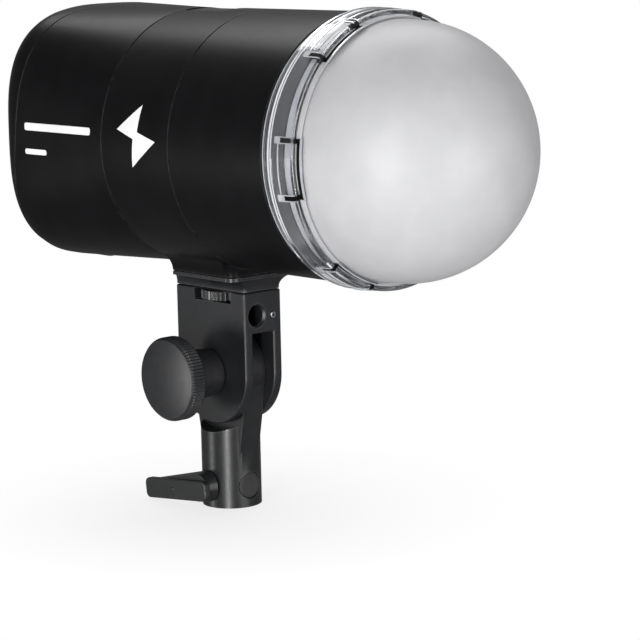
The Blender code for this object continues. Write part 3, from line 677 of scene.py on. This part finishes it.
def shell_section(front, back, tongue_front=True, tongue_back=True):
    """A tube section of the casing as (radius, forward) corners, with tongues under its neighbours."""
    top, low = HEAD_R - TONGUE_TOP, HEAD_R - TONGUE_LOW
    outline = [(HEAD_R, front, SEAM_ROUND), (HEAD_R, back, SEAM_ROUND)]
    if tongue_back:
        outline += [(top, back), (top, back - TONGUE_LONG), (low, back - TONGUE_LONG)]
        outline += [(low, back + 2), (HEAD_R - WALL, back + 3)]
    else:
        outline += [(HEAD_R - REBATE, back), (HEAD_R - REBATE, back + TONGUE_LONG + 0.5)]
        outline += [(HEAD_R - WALL, back + TONGUE_LONG + 0.5)]
    if tongue_front:
        outline += [(HEAD_R - WALL, front - 3), (low, front - 2), (low, front + TONGUE_LONG)]
        outline += [(top, front + TONGUE_LONG), (top, front)]
    else:
        outline += [(HEAD_R - WALL, front, 0.3)]
    return outline


def neck():
    """The foot of the casing: the saddle's outline, spreading into the underside of the tube."""
    rows = []
    low_z, wide = SADDLE_HIGH.z + 2 * HALF_GAP, SADDLE_HIGH.x
    for i in range(11):
        s = i / 10
        x = (1 - s) ** 2 * wide + 2 * s * (1 - s) * (wide + 0.3) + s * s * (wide + 8.6)
        z = (1 - s) ** 2 * low_z + 2 * s * (1 - s) * (low_z + 5.6) + s * s * (low_z + 9.4)
        front = SADDLE_LOW.y - 2.6 * s * s
        back = SEAM_REAR - HALF_GAP - 0.55
        corners = [(x, front, 4.0), (x, back, 1.0), (-x, back, 1.0), (-x, front, 4.0)]
        rows.append([(u, v, z) for u, v in rounded(corners, 6)])
    return skin(rows, close_ends=True)


def dowel_holes(top, base):
    """The two blind holes beside the neck's screw."""
    return [cylinder(DOWEL_R, top, base, upward(0, WHEEL.y + side * DOWEL_OUT), 24) for side in (-1, 1)]


def middle_shell():
    front, back = -SEAM_FRONT - HALF_GAP, -SEAM_REAR + HALF_GAP
    tube = turned(rounded(shell_section(front, back)), frontward)
    inside = cylinder(HEAD_R - 1.2, 40, -40, frontward, 90)
    boss = cylinder(9, 80, 60, AT_WHEEL, 48)
    foot = cut(neck(), cut(inside, boss))
    well = cylinder(5.8, 78.3, 60, AT_WHEEL, 48)
    window = prism(inset(*box("sensor_window"), -0.3, 2.5, 4), 160, 180, flat_z)
    made = cut(join(tube, foot), well, window, *dowel_holes(72.6, 60))
    piece("middle_casing", made, SHELL, "head", "middle_shell")


def front_shell():
    front, back = -SHELL_FRONT, -SEAM_FRONT + HALF_GAP
    outline = shell_section(front, back, tongue_front=False, tongue_back=False)
    ring_section(outline, "front_casing", SHELL, "head", "front_shell")


def on_head(outline, low_r, high_r):
    """A flat outline in (distance round, y) wrapped on the head between two radii, from the -X side upwards."""

    def wrap(point):
        turn = math.pi - point.x / HEAD_R
        return (point.z * math.cos(turn), point.y, HEAD_Z + point.z * math.sin(turn))

    return wrapped(outline, low_r, high_r, [1.2], wrap)


def on_rear(outline, proud):
    """The same on the rear casing, which isn't quite round: the outline keeps its height on the side."""

    def wrap(point):
        power, _ = casing_power(point.y)
        turn = math.asin(raised(math.sin(point.x / HEAD_R), 1 / power))
        return casing_point(math.pi - turn, point.y - SEAM_REAR, -point.z)

    return wrapped(outline, -0.3, proud, [1.2, 4.8], wrap)


def sensor_window():
    low, high = box("sensor_window")
    quarter = math.pi / 2 * HEAD_R
    outline = box_outline(quarter - 9, quarter + 9, low.y, high.y, 2.3, 4)
    made = on_head(outline, HEAD_R - 1.8, HEAD_R - 0.35)
    piece("sensor_lens", made, LENS, "head", "sensor_window")


def side_marks():
    """Plain generic print on the -X side: a bolt glyph, a long bar and a short bar."""
    round_middle, y_middle = math.radians(5) * HEAD_R, -8.5
    glyph = [(2.2, 11.5), (12.3, -2.2), (1.6, -1.0), (-1.6, -12.2), (-12.3, 2.6), (-1.2, 1.4)]
    glyph = [(round_middle + x, y_middle + y) for x, y in glyph]
    made = on_head(glyph, HEAD_R - 0.3, HEAD_R + 0.06)
    piece("bolt_mark", made, PRINT, "head")
    bars = [("long_bar_mark", 20, 62.5, 173.0, 176.4), ("short_bar_mark", 48.5, 62.6, 184.6, 187.0)]
    for name, first, last, low, high in bars:
        left, right = [(180 - a) / 180 * math.pi * HEAD_R for a in (high, low)]
        outline = box_outline(left, right, first, last, 0.9, 4)
        piece(name, on_rear(outline, 0.06), PRINT, "head")


# ---- dome and clear ring

RING_LINE = [
    (RING_BACK, 51.0),
    (83.1, 51.1),
    (84.8, 52.0),
    (86.6, RING_BULGE),
    (93.0, 53.1),
    (99.5, 52.7),
    (RING_TOP, 52.1),
    (100.41, SKIRT_R + 0.1),
    (104.0, SKIRT_R + 0.1),
]


def ring_radius(forward):
    """The clear ring's outer radius at a distance forward, from RING_LINE."""
    for (near, first), (far, last) in zip(RING_LINE, RING_LINE[1:]):
        if forward <= far:
            return first + (last - first) * (forward - near) / (far - near)
    return RING_LINE[-1][1]


def on_ring(outline, low, high, middle):
    """A flat outline in (distance round, forward) wrapped on the clear ring at one of its tabs."""

    def wrap(point):
        reach = ring_radius(point.y) + point.z
        turn = middle - point.x / RING_R
        return (reach * math.cos(turn), -point.y, HEAD_Z + reach * math.sin(turn))

    return wrapped(outline, low, high, [1.5, 0.9], wrap)


def tab_middles():
    return [math.pi - TAB_TURN + turn for turn in full_turn(TABS)]


def end_slots(back, front, grow, low, high):
    """One box at each end of every tab, as wide as the slot plus a margin."""
    wide = SLOT_WIDE / 2 + grow
    made = []
    for middle in tab_middles():
        for place in (-TAB_REACH, TAB_REACH):
            made.append(on_ring(box_outline(place - wide, place + wide, back, front, 0.3), low, high, middle))
    return merged(made)


def tab_strips(back, front, grow, low, high):
    """One strip along every tab, from slot to slot."""
    reach = TAB_REACH + SLOT_WIDE / 2 + grow
    outline = box_outline(-reach, reach, back, front, min(0.3, (front - back) / 2.2))
    return merged([on_ring(outline, low, high, middle) for middle in tab_middles()])


def dome_ring():
    outer = [(r, f, 0.3 if f < 84 else 0.6) for f, r in RING_LINE if f < 100.3]
    inner = [(52.1, RING_TOP, 0.4), (50.75, RING_TOP, 0.3), (50.5, 99.0), (50.5, 88.0, 1)]
    inner += [(49.9, 85.5, 1), (49.7, RING_BACK, 0.2)]
    made = turned(rounded(outer + inner, 3), frontward)
    made = cut(made, end_slots(SLOT_BACK, SLOT_FRONT, 0, -4, 2))
    piece("clear_ring", made, CLEAR, "dome_cap", "dome_ring", 30)


def ring_seals():
    """Black fills in the ring's slots and along its gaps, painted shade for the dark seen there, and the dark
    band behind its skirt.
    """
    slots = end_slots(SLOT_BACK + 0.1, 100.9, -0.05, -2.3, -0.25)
    gaps = tab_strips(GAP_BACK, GAP_FRONT, 0.1, -0.6, 0.2)
    piece("tab_slot_shade", merged([slots, gaps]), SLOT_SHADE, "dome_cap")
    outline = [(50.3, 86.6, 0.3), (50.3, 94.2, 0.3), (45.6, 94.2, 0.2), (45.6, 86.6, 0.3)]
    ring_section(outline, "ring_gasket", BAND, "dome_cap", None)


def ring_trim():
    """Raised rims coloured light as painted highlights: the ring's back edge, and the frames of the tabs."""
    inner, outer, front = RING_R - 0.9, RING_R + 0.10, RING_BACK + 0.75
    edge = [(inner, RING_BACK, 0.1), (outer, RING_BACK, 0.15), (outer, front, 0.25), (inner, front, 0.1)]
    ring_section(edge, "ring_edge_highlight", HIGHLIGHT_RIM, "dome_cap", None)
    bars = [tab_strips(93.2, 93.6, -SLOT_WIDE, 0.0, 0.22), tab_strips(102.4, 103.2, 0.5, -0.1, 0.35)]
    bars.append(end_slots(91.6, 94.2, 0.3, 0.02, RIM_PROUD))
    for middle in tab_middles():
        for place in (-TAB_REACH, TAB_REACH):
            for side in (-1, 1):
                first, last = sorted((place + side * SLOT_WIDE / 2, place + side * (SLOT_WIDE / 2 + 0.32)))
                bars.append(on_ring(box_outline(first, last, 94.2, 100.0, 0.05), 0.02, RIM_PROUD, middle))
    piece("slot_frame_highlights", merged(bars), HIGHLIGHT_RIM, "dome_cap")


def dome():
    start = math.degrees(math.asin((DOME_CENTRE - 93.9) / DOME_R))
    outer = arc((0, DOME_CENTRE), DOME_R, 90, -2, 52)
    skirt = [(49.3, SKIRT_TOP + 1, 0.6), (SKIRT_R, SKIRT_TOP - 0.5, 1.2)]
    skirt += [(SKIRT_R, 94.9, 0.4), (48.9, 93.9, 0.2)]
    outer += rounded(skirt, 5)
    inner = arc((0, DOME_CENTRE), DOME_R - DOME_WALL, -start, 90, 40)
    outer[0] = (0, outer[0][1])
    inner[-1] = (0, inner[-1][1])
    made = turned(outer + inner, frontward, 160, closed=False)
    piece("frosted_dome", made, FROSTED, "dome_cap", "dome")


def front_bezel():
    low, high = -box("front_bezel")[1].y, -box("front_bezel")[0].y
    outline = [(44.6, high, 0.4), (44.6, 87.4, 0.3), (48.4, 87.4, 0.5)]
    outline += [(48.4, low), (43.2, low), (43.2, high, 0.4)]
    ring_section(outline, "dome_seat", COLLAR, "head", "front_bezel")


def reflector():
    """A spun bowl with a rolled rim."""
    back, rim = -box("reflector")[1].y, -box("reflector")[0].y
    bowl = [(42.6, rim, 0.4), (41.0, 82.0, 12), (34.0, 72.0, 14), (30.0, 67.2, 3), (14.5, back, 0.3)]
    bowl += [(14.5, back + 1.2, 0.3), (29.4, 68.4, 3), (33.2, 73.0, 14), (40.0, 82.6, 12), (41.4, rim, 0.4)]
    made = turned(rounded(bowl, 6), frontward, 96)
    holes = [cylinder(4.7, 75, 50, forward_at(*place), 32) for place in leg_places()]
    piece("reflector_bowl", cut(made, *holes), MIRROR, "head", "reflector")


TUBE_RING_R = 24.0
TUBE_GAP = 16


def leg_places():
    turns = [math.radians(-90 + side * TUBE_GAP) for side in (1, -1)]
    return [(TUBE_RING_R * math.cos(a), TUBE_RING_R * math.sin(a)) for a in turns]


def swept(path, radius, steps=20):
    """A round bar along a path, closed at both ends."""
    path = [Vector(point) for point in path]
    across = (path[1] - path[0]).orthogonal().normalized()
    rows = [[path[0]]]
    for i, point in enumerate(path):
        along = (path[min(i + 1, len(path) - 1)] - path[max(i - 1, 0)]).normalized()
        across = (across - along * across.dot(along)).normalized()
        other = along.cross(across)
        rows.append([point + (across * math.cos(a) + other * math.sin(a)) * radius for a in full_turn(steps)])
    rows.append([path[-1]])
    return skin(rows)


def flash_tube():
    plane, radius = -box("flash_tube")[0].y - 3.6, 3.55
    turns = arc((0, 0), TUBE_RING_R, -90 + TUBE_GAP, 270 - TUBE_GAP, 72)
    path = [(x, -plane, HEAD_Z + z) for x, z in turns]
    (x0, z0), (x1, z1) = leg_places()
    bend = [math.radians(90 * i / 5) for i in range(5)]
    first = [(x0, -plane + 6 * (1 - math.sin(a) * 0.85), HEAD_Z + z0) for a in bend]
    last = [(x1, y, HEAD_Z + z1) for _, y, _ in reversed(first)]
    path = [(x0, -60.1, HEAD_Z + z0)] + first + path + last + [(x1, -60.1, HEAD_Z + z1)]
    piece("ring_flash_tube", swept(path, radius), TUBE_GLASS, "head", "flash_tube")


def led_lens():
    top, base = -box("led_lens")[0].y, -box("led_lens")[1].y
    radius = box("led_lens")[1].x
    turns = [math.pi / 2 * (1 - i / 10) for i in range(11)]
    outline = [(radius * math.cos(a), base + 0.5 + (top - base - 0.5) * math.sin(a)) for a in turns]
    outline[0] = (0, top)
    made = turned(outline + [(radius, base), (0, base)], frontward, 48, closed=False)
    piece("modelling_led", made, LED, "head", "led_lens")


# ---- rear panel


def display_glass():
    low, high = box("display_glass")
    made = softened(prism(inset(low.xz, high.xz, 0, 2.4, 6), low.y, high.y, flat_y), 0.25, 2)
    piece("display_pane", made, SCREEN, "head", "display_glass")
    border = prism(inset(low.xz, high.xz, 3.4 - 0.35, 1.2), high.y - 0.05, high.y + 0.03, flat_y)
    middle = prism(inset(low.xz, high.xz, 3.4, 1.0), high.y - 1, high.y + 1, flat_y)
    piece("display_border", cut(border, middle), GREY_PRINT, "head")


def key(node_name, piece_name, body):
    """One round key; returns the middle and the height of its face."""
    low, high = box(node_name)
    middle = (low + high) / 2
    top, base = high.y, low.y
    outline = [(0, top - 0.15), (3.2, top - 0.05), (4.4, top, 0.3), (5.0, top - 0.55, 0.3), (5.0, base + 1.6)]
    outline += [(6.2, base + 1.6), (6.2, base), (0, base)]
    made = turned(rounded(outline), rearward(middle.x, middle.z), 64, closed=False)
    piece(piece_name, made, GRIP, body, node_name)
    return middle, top


def keys():
    """The two round keys, one with a power sign and one with a lamp dot, both generic."""
    middle, top = key("power_button", "power_key", "power_button")
    band = arc((middle.x, middle.z), 2.1, 125, 415, 24) + arc((middle.x, middle.z), 1.65, 415, 125, 24)
    stem = box_outline(middle.x - 0.25, middle.x + 0.25, middle.z + 0.8, middle.z + 2.6, 0.1)
    sign = merged([prism(outline, top - 0.3, top - 0.03, flat_y) for outline in (band, stem)])
    piece("power_sign", sign, PRINT, "power_button")
    middle, top = key("test_button", "test_key", "test_button")
    dot = prism(arc((middle.x, middle.z), 1.1, 0, 345, 23), top - 0.3, top - 0.04, flat_y)
    piece("test_sign", dot, PRINT, "test_button")


def port_flap():
    """The rubber flap, with a moulded groove round its face."""
    low, high = box("port_flap")
    made = softened(slab(low, high, 1.2), 0.22, 2)
    groove_out = prism(inset(low, high, 1.6, 0.8), low.z - 1, low.z + 0.22, flat_z)
    groove_in = prism(inset(low, high, 2.0, 0.6), low.z - 2, low.z + 1, flat_z)
    made = cut(made, cut(groove_out, groove_in))
    piece("port_cover", made, RUBBER, "port_flap", "port_flap")


# ---- bracket


def fork_arm():
    low, high = ARM_LOW, ARM_HIGH
    middle, reach = (low.y + high.y) / 2, (high.y - low.y) / 2
    outline = arc((middle, TILT.z), reach, 180, 360, 64) + [(high.y, high.z), (low.y, high.z)]
    body = prism(outline, low.x, high.x, flat_x)
    gap = slab((-GAP_HALF, -30, -20), (GAP_HALF, 30, GAP_TOP))
    body = softened(cut(body, gap), 0.75, 3)
    slot = softened(slab((-20, -13.8, 56.2), (20, 8.8, 60.95)), 0.2, 1)
    bore = [(0, 30), (4.8, 30), (4.8, -low.y - 0.5), (4.1, -low.y - 1.4), (4.1, -30), (0, -30)]
    shaft = turned(bore, forward_at(-3.0, 51.5), 64, False)
    screw = cylinder(1.7, 30, 15, forward_at(5.2, 51.0), 32)
    bolt = cylinder(BOLT_R, 20, -20, AT_TILT, 48)
    nut = cylinder(6.1, -6.4, -20, AT_TILT, 64)
    made = cut(body, slot, shaft, screw, bolt, nut)
    piece("arm_body", made, BRACKET, "head", "fork_arm")


def saddle_plate():
    """Flares from the arm up to the wide pad under the casing's neck."""
    low, high = SADDLE_LOW, SADDLE_HIGH
    narrow, wide = ARM_HIGH.x - 0.1, high.x
    rows = []
    for i in range(17):
        a = math.pi / 2 * i / 16
        spread = 1 - math.cos(a)
        half = narrow + (wide - narrow) * spread
        height = low.z + 0.5 + 4.9 * math.sin(a)
        front = ARM_LOW.y - 0.1 + (low.y - ARM_LOW.y + 0.1) * spread
        back = high.y + (SEAM_REAR - 0.7 - high.y) * spread
        turn = 1.5 + 2.4 * spread
        corners = [(half, front, turn), (half, back, 1.0), (-half, back, 1.0), (-half, front, turn)]
        rows.append([(u, v, height) for u, v in rounded(corners, 6)])
    rows.insert(0, [(u, v, low.z) for u, v, _ in rows[0]])
    rows.append([(u, v, high.z - 0.3) for u, v, _ in rows[-1]])
    rows.append([(u * 0.986, v * 0.986, high.z) for u, v, _ in rows[-1]])
    made = skin(rows, close_ends=True)
    made = cut(made, cylinder(3.6, 80, 50, AT_WHEEL, 48), *dowel_holes(80, high.z - 4.1))
    piece("saddle_foot", made, BRACKET, "head", "saddle_plate")


def ribbed(mesh, centre, axis, from_radius, ribs, deep):
    """Presses shallow flutes into the outer wall of a turned piece."""
    first, second = [i for i in range(3) if i != axis]
    for vert in mesh.verts:
        u, v = vert.co[first] - centre[first], vert.co[second] - centre[second]
        reach = math.hypot(u, v)
        if reach < from_radius:
            continue
        press = deep * (0.5 - 0.5 * math.cos(ribs * math.atan2(v, u))) ** 1.5
        scale = (reach - press) / reach
        vert.co[first] = centre[first] + u * scale
        vert.co[second] = centre[second] + v * scale
    return mesh


def thumbwheel():
    low, high = box("thumbwheel")
    radius = (high.x - low.x) / 2
    outline = [(radius, high.z, 0.4), (radius, low.z, 0.4), (3.3, low.z, 0.2), (3.3, high.z, 0.2)]
    made = turned(rounded(outline), AT_WHEEL, 272)
    made = ribbed(made, WHEEL, 2, radius - 0.45, 34, 0.62)
    piece("locking_wheel", made, GRIP, "thumbwheel", "thumbwheel", 40)


def tilt_knob():
    """A broad knob with a gently domed face, a bright turned rim and fine flutes round its side."""
    low, high = box("tilt_knob")
    out, back = -low.x + KNOB_PROUD, -high.x
    outline = [(0, out)] + [(r, out - 0.9 * (r / 15) ** 2) for r in (1.5, 3, 5, 7, 9, 11, 13)]
    outline += [(15.0, out - 0.95, 2), (15.9, out - 1.05, 0.3), (KNOB_R, out - 2.3, 0.9)]
    outline += [(KNOB_R, out - 7.6, 0.9), (15.4, out - 8.8, 0.6), (11.0, out - 9.0, 1.2)]
    outline += [(9.5, back, 0.5), (BOLT_R, back, 0.2), (BOLT_R, 24.3), (0, 24.3)]
    made = turned(rounded(outline, 5), AT_TILT, 312, closed=False)
    made = ribbed(made, TILT, 0, 16.2, 78, 0.42)
    piece("tilt_hand_knob", made, GRIP, "tilt_knob", "tilt_knob", 40)


def tongue():
    """The flat eye that the head tilts on, flaring down into the socket tube."""
    side = TONGUE_R * math.cos(math.radians(20))
    outline = arc((0, TILT.z), TONGUE_R, -20, 200, 64)
    flare = [(side - 0.4, 16.0), (14.0, 8.0), (12.7, 1.0), (11.6, -5.0), (10.9, -10.0), (10.3, -13.4)]
    outline += [(-y, z) for y, z in flare] + flare[::-1]
    return prism(outline, -TONGUE_HALF, TONGUE_HALF, flat_x)


def stand_mount():
    """Tube, shoulders and tongue in one casting. The cuts go one by one: together they lose the solid."""
    bottom = box("stand_mount")[0].z
    body = cylinder(TUBE_R, 12, bottom, upward(0, 0), 128)
    for side in (-1, 1):
        inner, outer = sorted((side * (TONGUE_HALF - 0.5), side * 30))
        body = cut(body, cylinder(SHOULDER_R, outer, inner, AT_TILT, 180))
    body = join(body, tongue())
    bore = [(0, 0), (7, 0), (7, 0.6), (SOCKET_R, 0.6), (SOCKET_R, bottom + 0.8)]
    bore += [(SOCKET_R + 0.8, bottom - 0.1), (SOCKET_R + 0.8, -40), (0, -40)]
    cuts = [turned(bore, upward(0, 0), 96, False), cylinder(BOLT_R, 20, -20, AT_TILT, 48)]
    for side in (-1, 1):
        inner, outer = sorted((side * (TONGUE_HALF - 1), side * 9))
        cuts.append(cylinder(10, outer, inner, AT_TILT, 64))
    cuts.append(cylinder(BOLT_R, 20, 4, AT_CLAMP, 48))
    cuts.append(cylinder(2.5, -4, -20, leftward(0, CLAMP.z + 4), 40))
    cuts.append(cylinder(5.7, 20, 10.6, forward_at(0, CLAMP.z), 64))
    for cutter in cuts:
        body = cut(body, cutter)
    bmesh.ops.dissolve_limit(body, angle_limit=math.radians(0.5), verts=body.verts, edges=body.edges)
    bmesh.ops.remove_doubles(body, verts=body.verts, dist=0.02)
    piece("socket_body", softened(body, 0.45, 3, 34), CAST, "stand_mount", "stand_mount")


def socket_plug():
    low, high = box("socket_plug")
    radius, face, back = (high.x - low.x) / 2, -low.y, -high.y
    outline = [(0, face), (radius - 1.2, face, 0.6), (radius, face - 0.45, 0.3), (radius, back), (0, back)]
    made = turned(rounded(outline), forward_at(0, CLAMP.z), 64, closed=False)
    piece("side_plug", made, RUBBER, "stand_mount", "socket_plug")


def hull(points):
    mesh = bmesh.new()
    for point in points:
        mesh.verts.new(point)
    bmesh.ops.convex_hull(mesh, input=mesh.verts)
    loose = [vert for vert in mesh.verts if not vert.link_faces]
    bmesh.ops.delete(mesh, geom=loose, context="VERTS")
    bmesh.ops.dissolve_limit(mesh, angle_limit=math.radians(1.5), verts=mesh.verts, edges=mesh.edges)
    return mesh


def clamp_lever():
    """A wedge that runs from the hub to a flat finger band with a rounded end and a small dimple."""
    low, high = box("clamp_lever")
    out, hub_in, tip = low.x, high.x, high.y + LEVER_LONGER
    z, half = CLAMP.z - 0.9, LEVER_HALF
    wedge = []
    for a in full_turn(48):
        wedge.append((hub_in, 6.4 * math.cos(a), CLAMP.z + 6.4 * math.sin(a)))
        wedge.append((-18.3, 5.6 * math.cos(a), CLAMP.z + 5.6 * math.sin(a)))
    for i in range(13):
        a = math.radians(-90 + 15 * i)
        for x, reach in ((-18.3, half - 0.4), (-16.3, half - 0.8)):
            wedge.append((x, tip - half + reach * math.cos(a), z + reach * math.sin(a)))
    bore = cylinder(BOLT_R, 17.6, 0, AT_CLAMP, 50)
    body = softened(cut(hull(wedge), bore), 0.5, 3, 28)
    band = box_outline(low.y, tip, z - half, z + half, 2.3, 8)
    grip = softened(prism(band, out, -17.4, flat_x), 0.5, 3, 40)
    made = join(body, grip)
    dimple = turned([(0, 30), (1.2, 30), (1.2, -out - 0.5), (0, -out - 0.9)], leftward(14, z), 32, False)
    made = cut(made, dimple)
    droop = Matrix.Rotation(LEVER_DROOP, 4, "X")
    made.transform(Matrix.Translation(CLAMP) @ droop @ Matrix.Translation(-CLAMP))
    piece("clamp_grip", made, CAST, "clamp_lever", "clamp_lever")


def umbrella_screw():
    """A small socket screw beside the umbrella bore."""
    low, high = box("umbrella_screw")
    place = forward_at((low.x + high.x) / 2, (low.z + high.z) / 2)
    radius, face = (high.x - low.x) / 2, -low.y
    outline = [(0, face), (radius, face, 0.25), (radius, -high.y), (0, -high.y)]
    made = turned(rounded(outline), place, 40, closed=False)
    hexagon = cylinder(0.75, face + 1, face - 1.2, place, 6)
    piece("shaft_set_screw", cut(made, hexagon), STEEL, "umbrella_screw", "umbrella_screw")


# ---- what stays as the frame has it


def kept_looks():
    """Procedural finishes for the nodes whose own shape is shown."""
    groups = [
        (COLLAR, ["sync_jack", "display_module", "battery_holder", "fan_frame", "fan_rotor"]),
        (CERAMIC, ["tube_socket"]),
        (BOARD, ["led_board", "main_board", "control_board"]),
        (ALUMINIUM, ["led_heatsink", "bulkhead"]),
        (BRASS, ["neck_insert", "clamp_pad", "friction_washer_left", "friction_washer_right"]),
    ]
    looks = {name: look for look, names in groups for name in names}
    for name, made in frame["nodes"].items():
        if made.hide_render:
            continue
        look = looks.get(name, STEEL)
        if name.startswith(("capacitor", "battery_cell")):
            look = SLEEVE
        for slot in made.material_slots:
            slot.material = look


# ---- stage


def floor():
    """A wide floor that fades to white for the camera, is dim to diffuse rays and lets all others through."""
    mesh = bmesh.new()
    bmesh.ops.create_grid(mesh, x_segments=8, y_segments=8, size=6)
    data = stored(mesh, "floor")
    made = placed("floor", data)
    made.location = (0, 0, CAD_BOX[0].z)
    look = bpy.data.materials.new("pale_floor")
    look.use_nodes = True
    tree = look.node_tree
    tree.nodes.clear()
    near = node(tree, "BsdfDiffuse", {"Color": (0.86, 0.86, 0.86, 1)})
    dim = node(tree, "BsdfDiffuse", {"Color": (0.70, 0.70, 0.70, 1)})
    white = node(tree, "Emission", {"Color": (1, 1, 1, 1), "Strength": 1.0})
    place = node(tree, "TexCoord").outputs["Object"]
    reach = node(tree, "VectorMath", {0: place}, operation="LENGTH").outputs["Value"]
    share = ranged(tree, reach, 0.0, 0.12, 0.72, 1)
    faded = node(tree, "MixShader", {0: share, 1: near.outputs[0], 2: white.outputs[0]})
    path = node(tree, "LightPath").outputs
    through = node(tree, "BsdfTransparent")
    hidden = node(tree, "MixShader", {0: path["Is Diffuse Ray"], 1: through.outputs[0], 2: dim.outputs[0]})
    both = node(tree, "MixShader", {0: path["Is Camera Ray"], 1: hidden.outputs[0], 2: faded.outputs[0]})
    node(tree, "OutputMaterial", {"Surface": both.outputs[0]})
    data.materials.append(look)


def direction(azimuth, elevation):
    """The way from the object towards a place round it, in radians; azimuth 0 faces the dome."""
    flat = math.cos(elevation)
    return Vector((math.sin(azimuth) * flat, -math.cos(azimuth) * flat, math.sin(elevation)))


def softbox(name, azimuth, elevation, distance, size, power, target, tall=None):
    """A soft rectangular light at a direction from its target, in degrees."""
    back = direction(math.radians(azimuth), math.radians(elevation))
    light = bpy.data.lights.new(name, "AREA")
    light.shape = "RECTANGLE"
    light.size = size
    light.size_y = tall or size
    light.energy = power
    made = placed(name, light)
    made.location = Vector(target) + back * distance
    made.rotation_mode = "QUATERNION"
    made.rotation_quaternion = (-back).to_track_quat("-Z", "Y")
    made.visible_camera = False


def studio():
    """Soft boxes round the object, two of them below the floor, in a white room that the object sees as dim."""
    world = bpy.data.worlds.new("studio")
    bpy.context.scene.world = world
    world.use_nodes = True
    tree = world.node_tree
    tree.nodes.clear()
    room = node(tree, "Background", {"Color": (1, 1, 1, 1), "Strength": 0.17})
    white = node(tree, "Background", {"Color": (1, 1, 1, 1), "Strength": 1.0})
    path = node(tree, "LightPath").outputs
    rays = {0: path["Is Camera Ray"], 1: path["Is Transmission Ray"]}
    seen = node(tree, "Math", rays, operation="MAXIMUM")
    both = node(tree, "MixShader", {0: seen.outputs[0], 1: room.outputs[0], 2: white.outputs[0]})
    node(tree, "OutputWorld", {"Surface": both.outputs[0]})
    middle = (0, -0.03, 0.10)
    softbox("key", -66, 14, 1.1, 0.6, 5.6, middle)
    softbox("side", -121, -9, 1.2, 0.20, 2.4, (0, 0, 0.03), 0.4)
    softbox("strip", -56, -9, 0.9, 0.08, 4.5, (0, -0.01, 0.0), 0.5)
    softbox("back", 138, 58, 1.0, 1.0, 8.0, middle, 0.6)
    softbox("fill", 6, 0, 1.2, 0.8, 8.5, middle)
    bpy.context.scene.view_settings.view_transform = "Standard"


def camera():
    azimuth, elevation, roll = (math.radians(v) for v in (-42.275, 9.517, -1.218))
    back = direction(azimuth, elevation)
    right = Vector((0, 0, 1)).cross(back).normalized()
    up = back.cross(right)
    side = right * math.cos(roll) + up * math.sin(roll)
    top = up * math.cos(roll) - right * math.sin(roll)
    lens = bpy.data.cameras.new("camera")
    lens.sensor_width = 36
    lens.lens = 140.6
    lens.clip_start = 0.01
    made = placed("camera", lens)
    turn = Matrix((side, top, back)).transposed()
    made.matrix_world = Matrix.Translation((-0.6477, -0.7684, 0.2146)) @ turn.to_4x4()
    bpy.context.scene.camera = made


# ---- assembly

HEAD = [rear_shell, back_panel, middle_shell, front_shell, sensor_window, side_marks]
FRONT = [dome_ring, ring_seals, ring_trim, dome, front_bezel, reflector, flash_tube, led_lens]
REAR = [display_glass, keys, port_flap]
STAND = [fork_arm, saddle_plate, thumbwheel, tilt_knob, stand_mount, socket_plug, clamp_lever, umbrella_screw]
for build in HEAD + FRONT + REAR + STAND:
    build()
kept_looks()
floor()
studio()
camera()
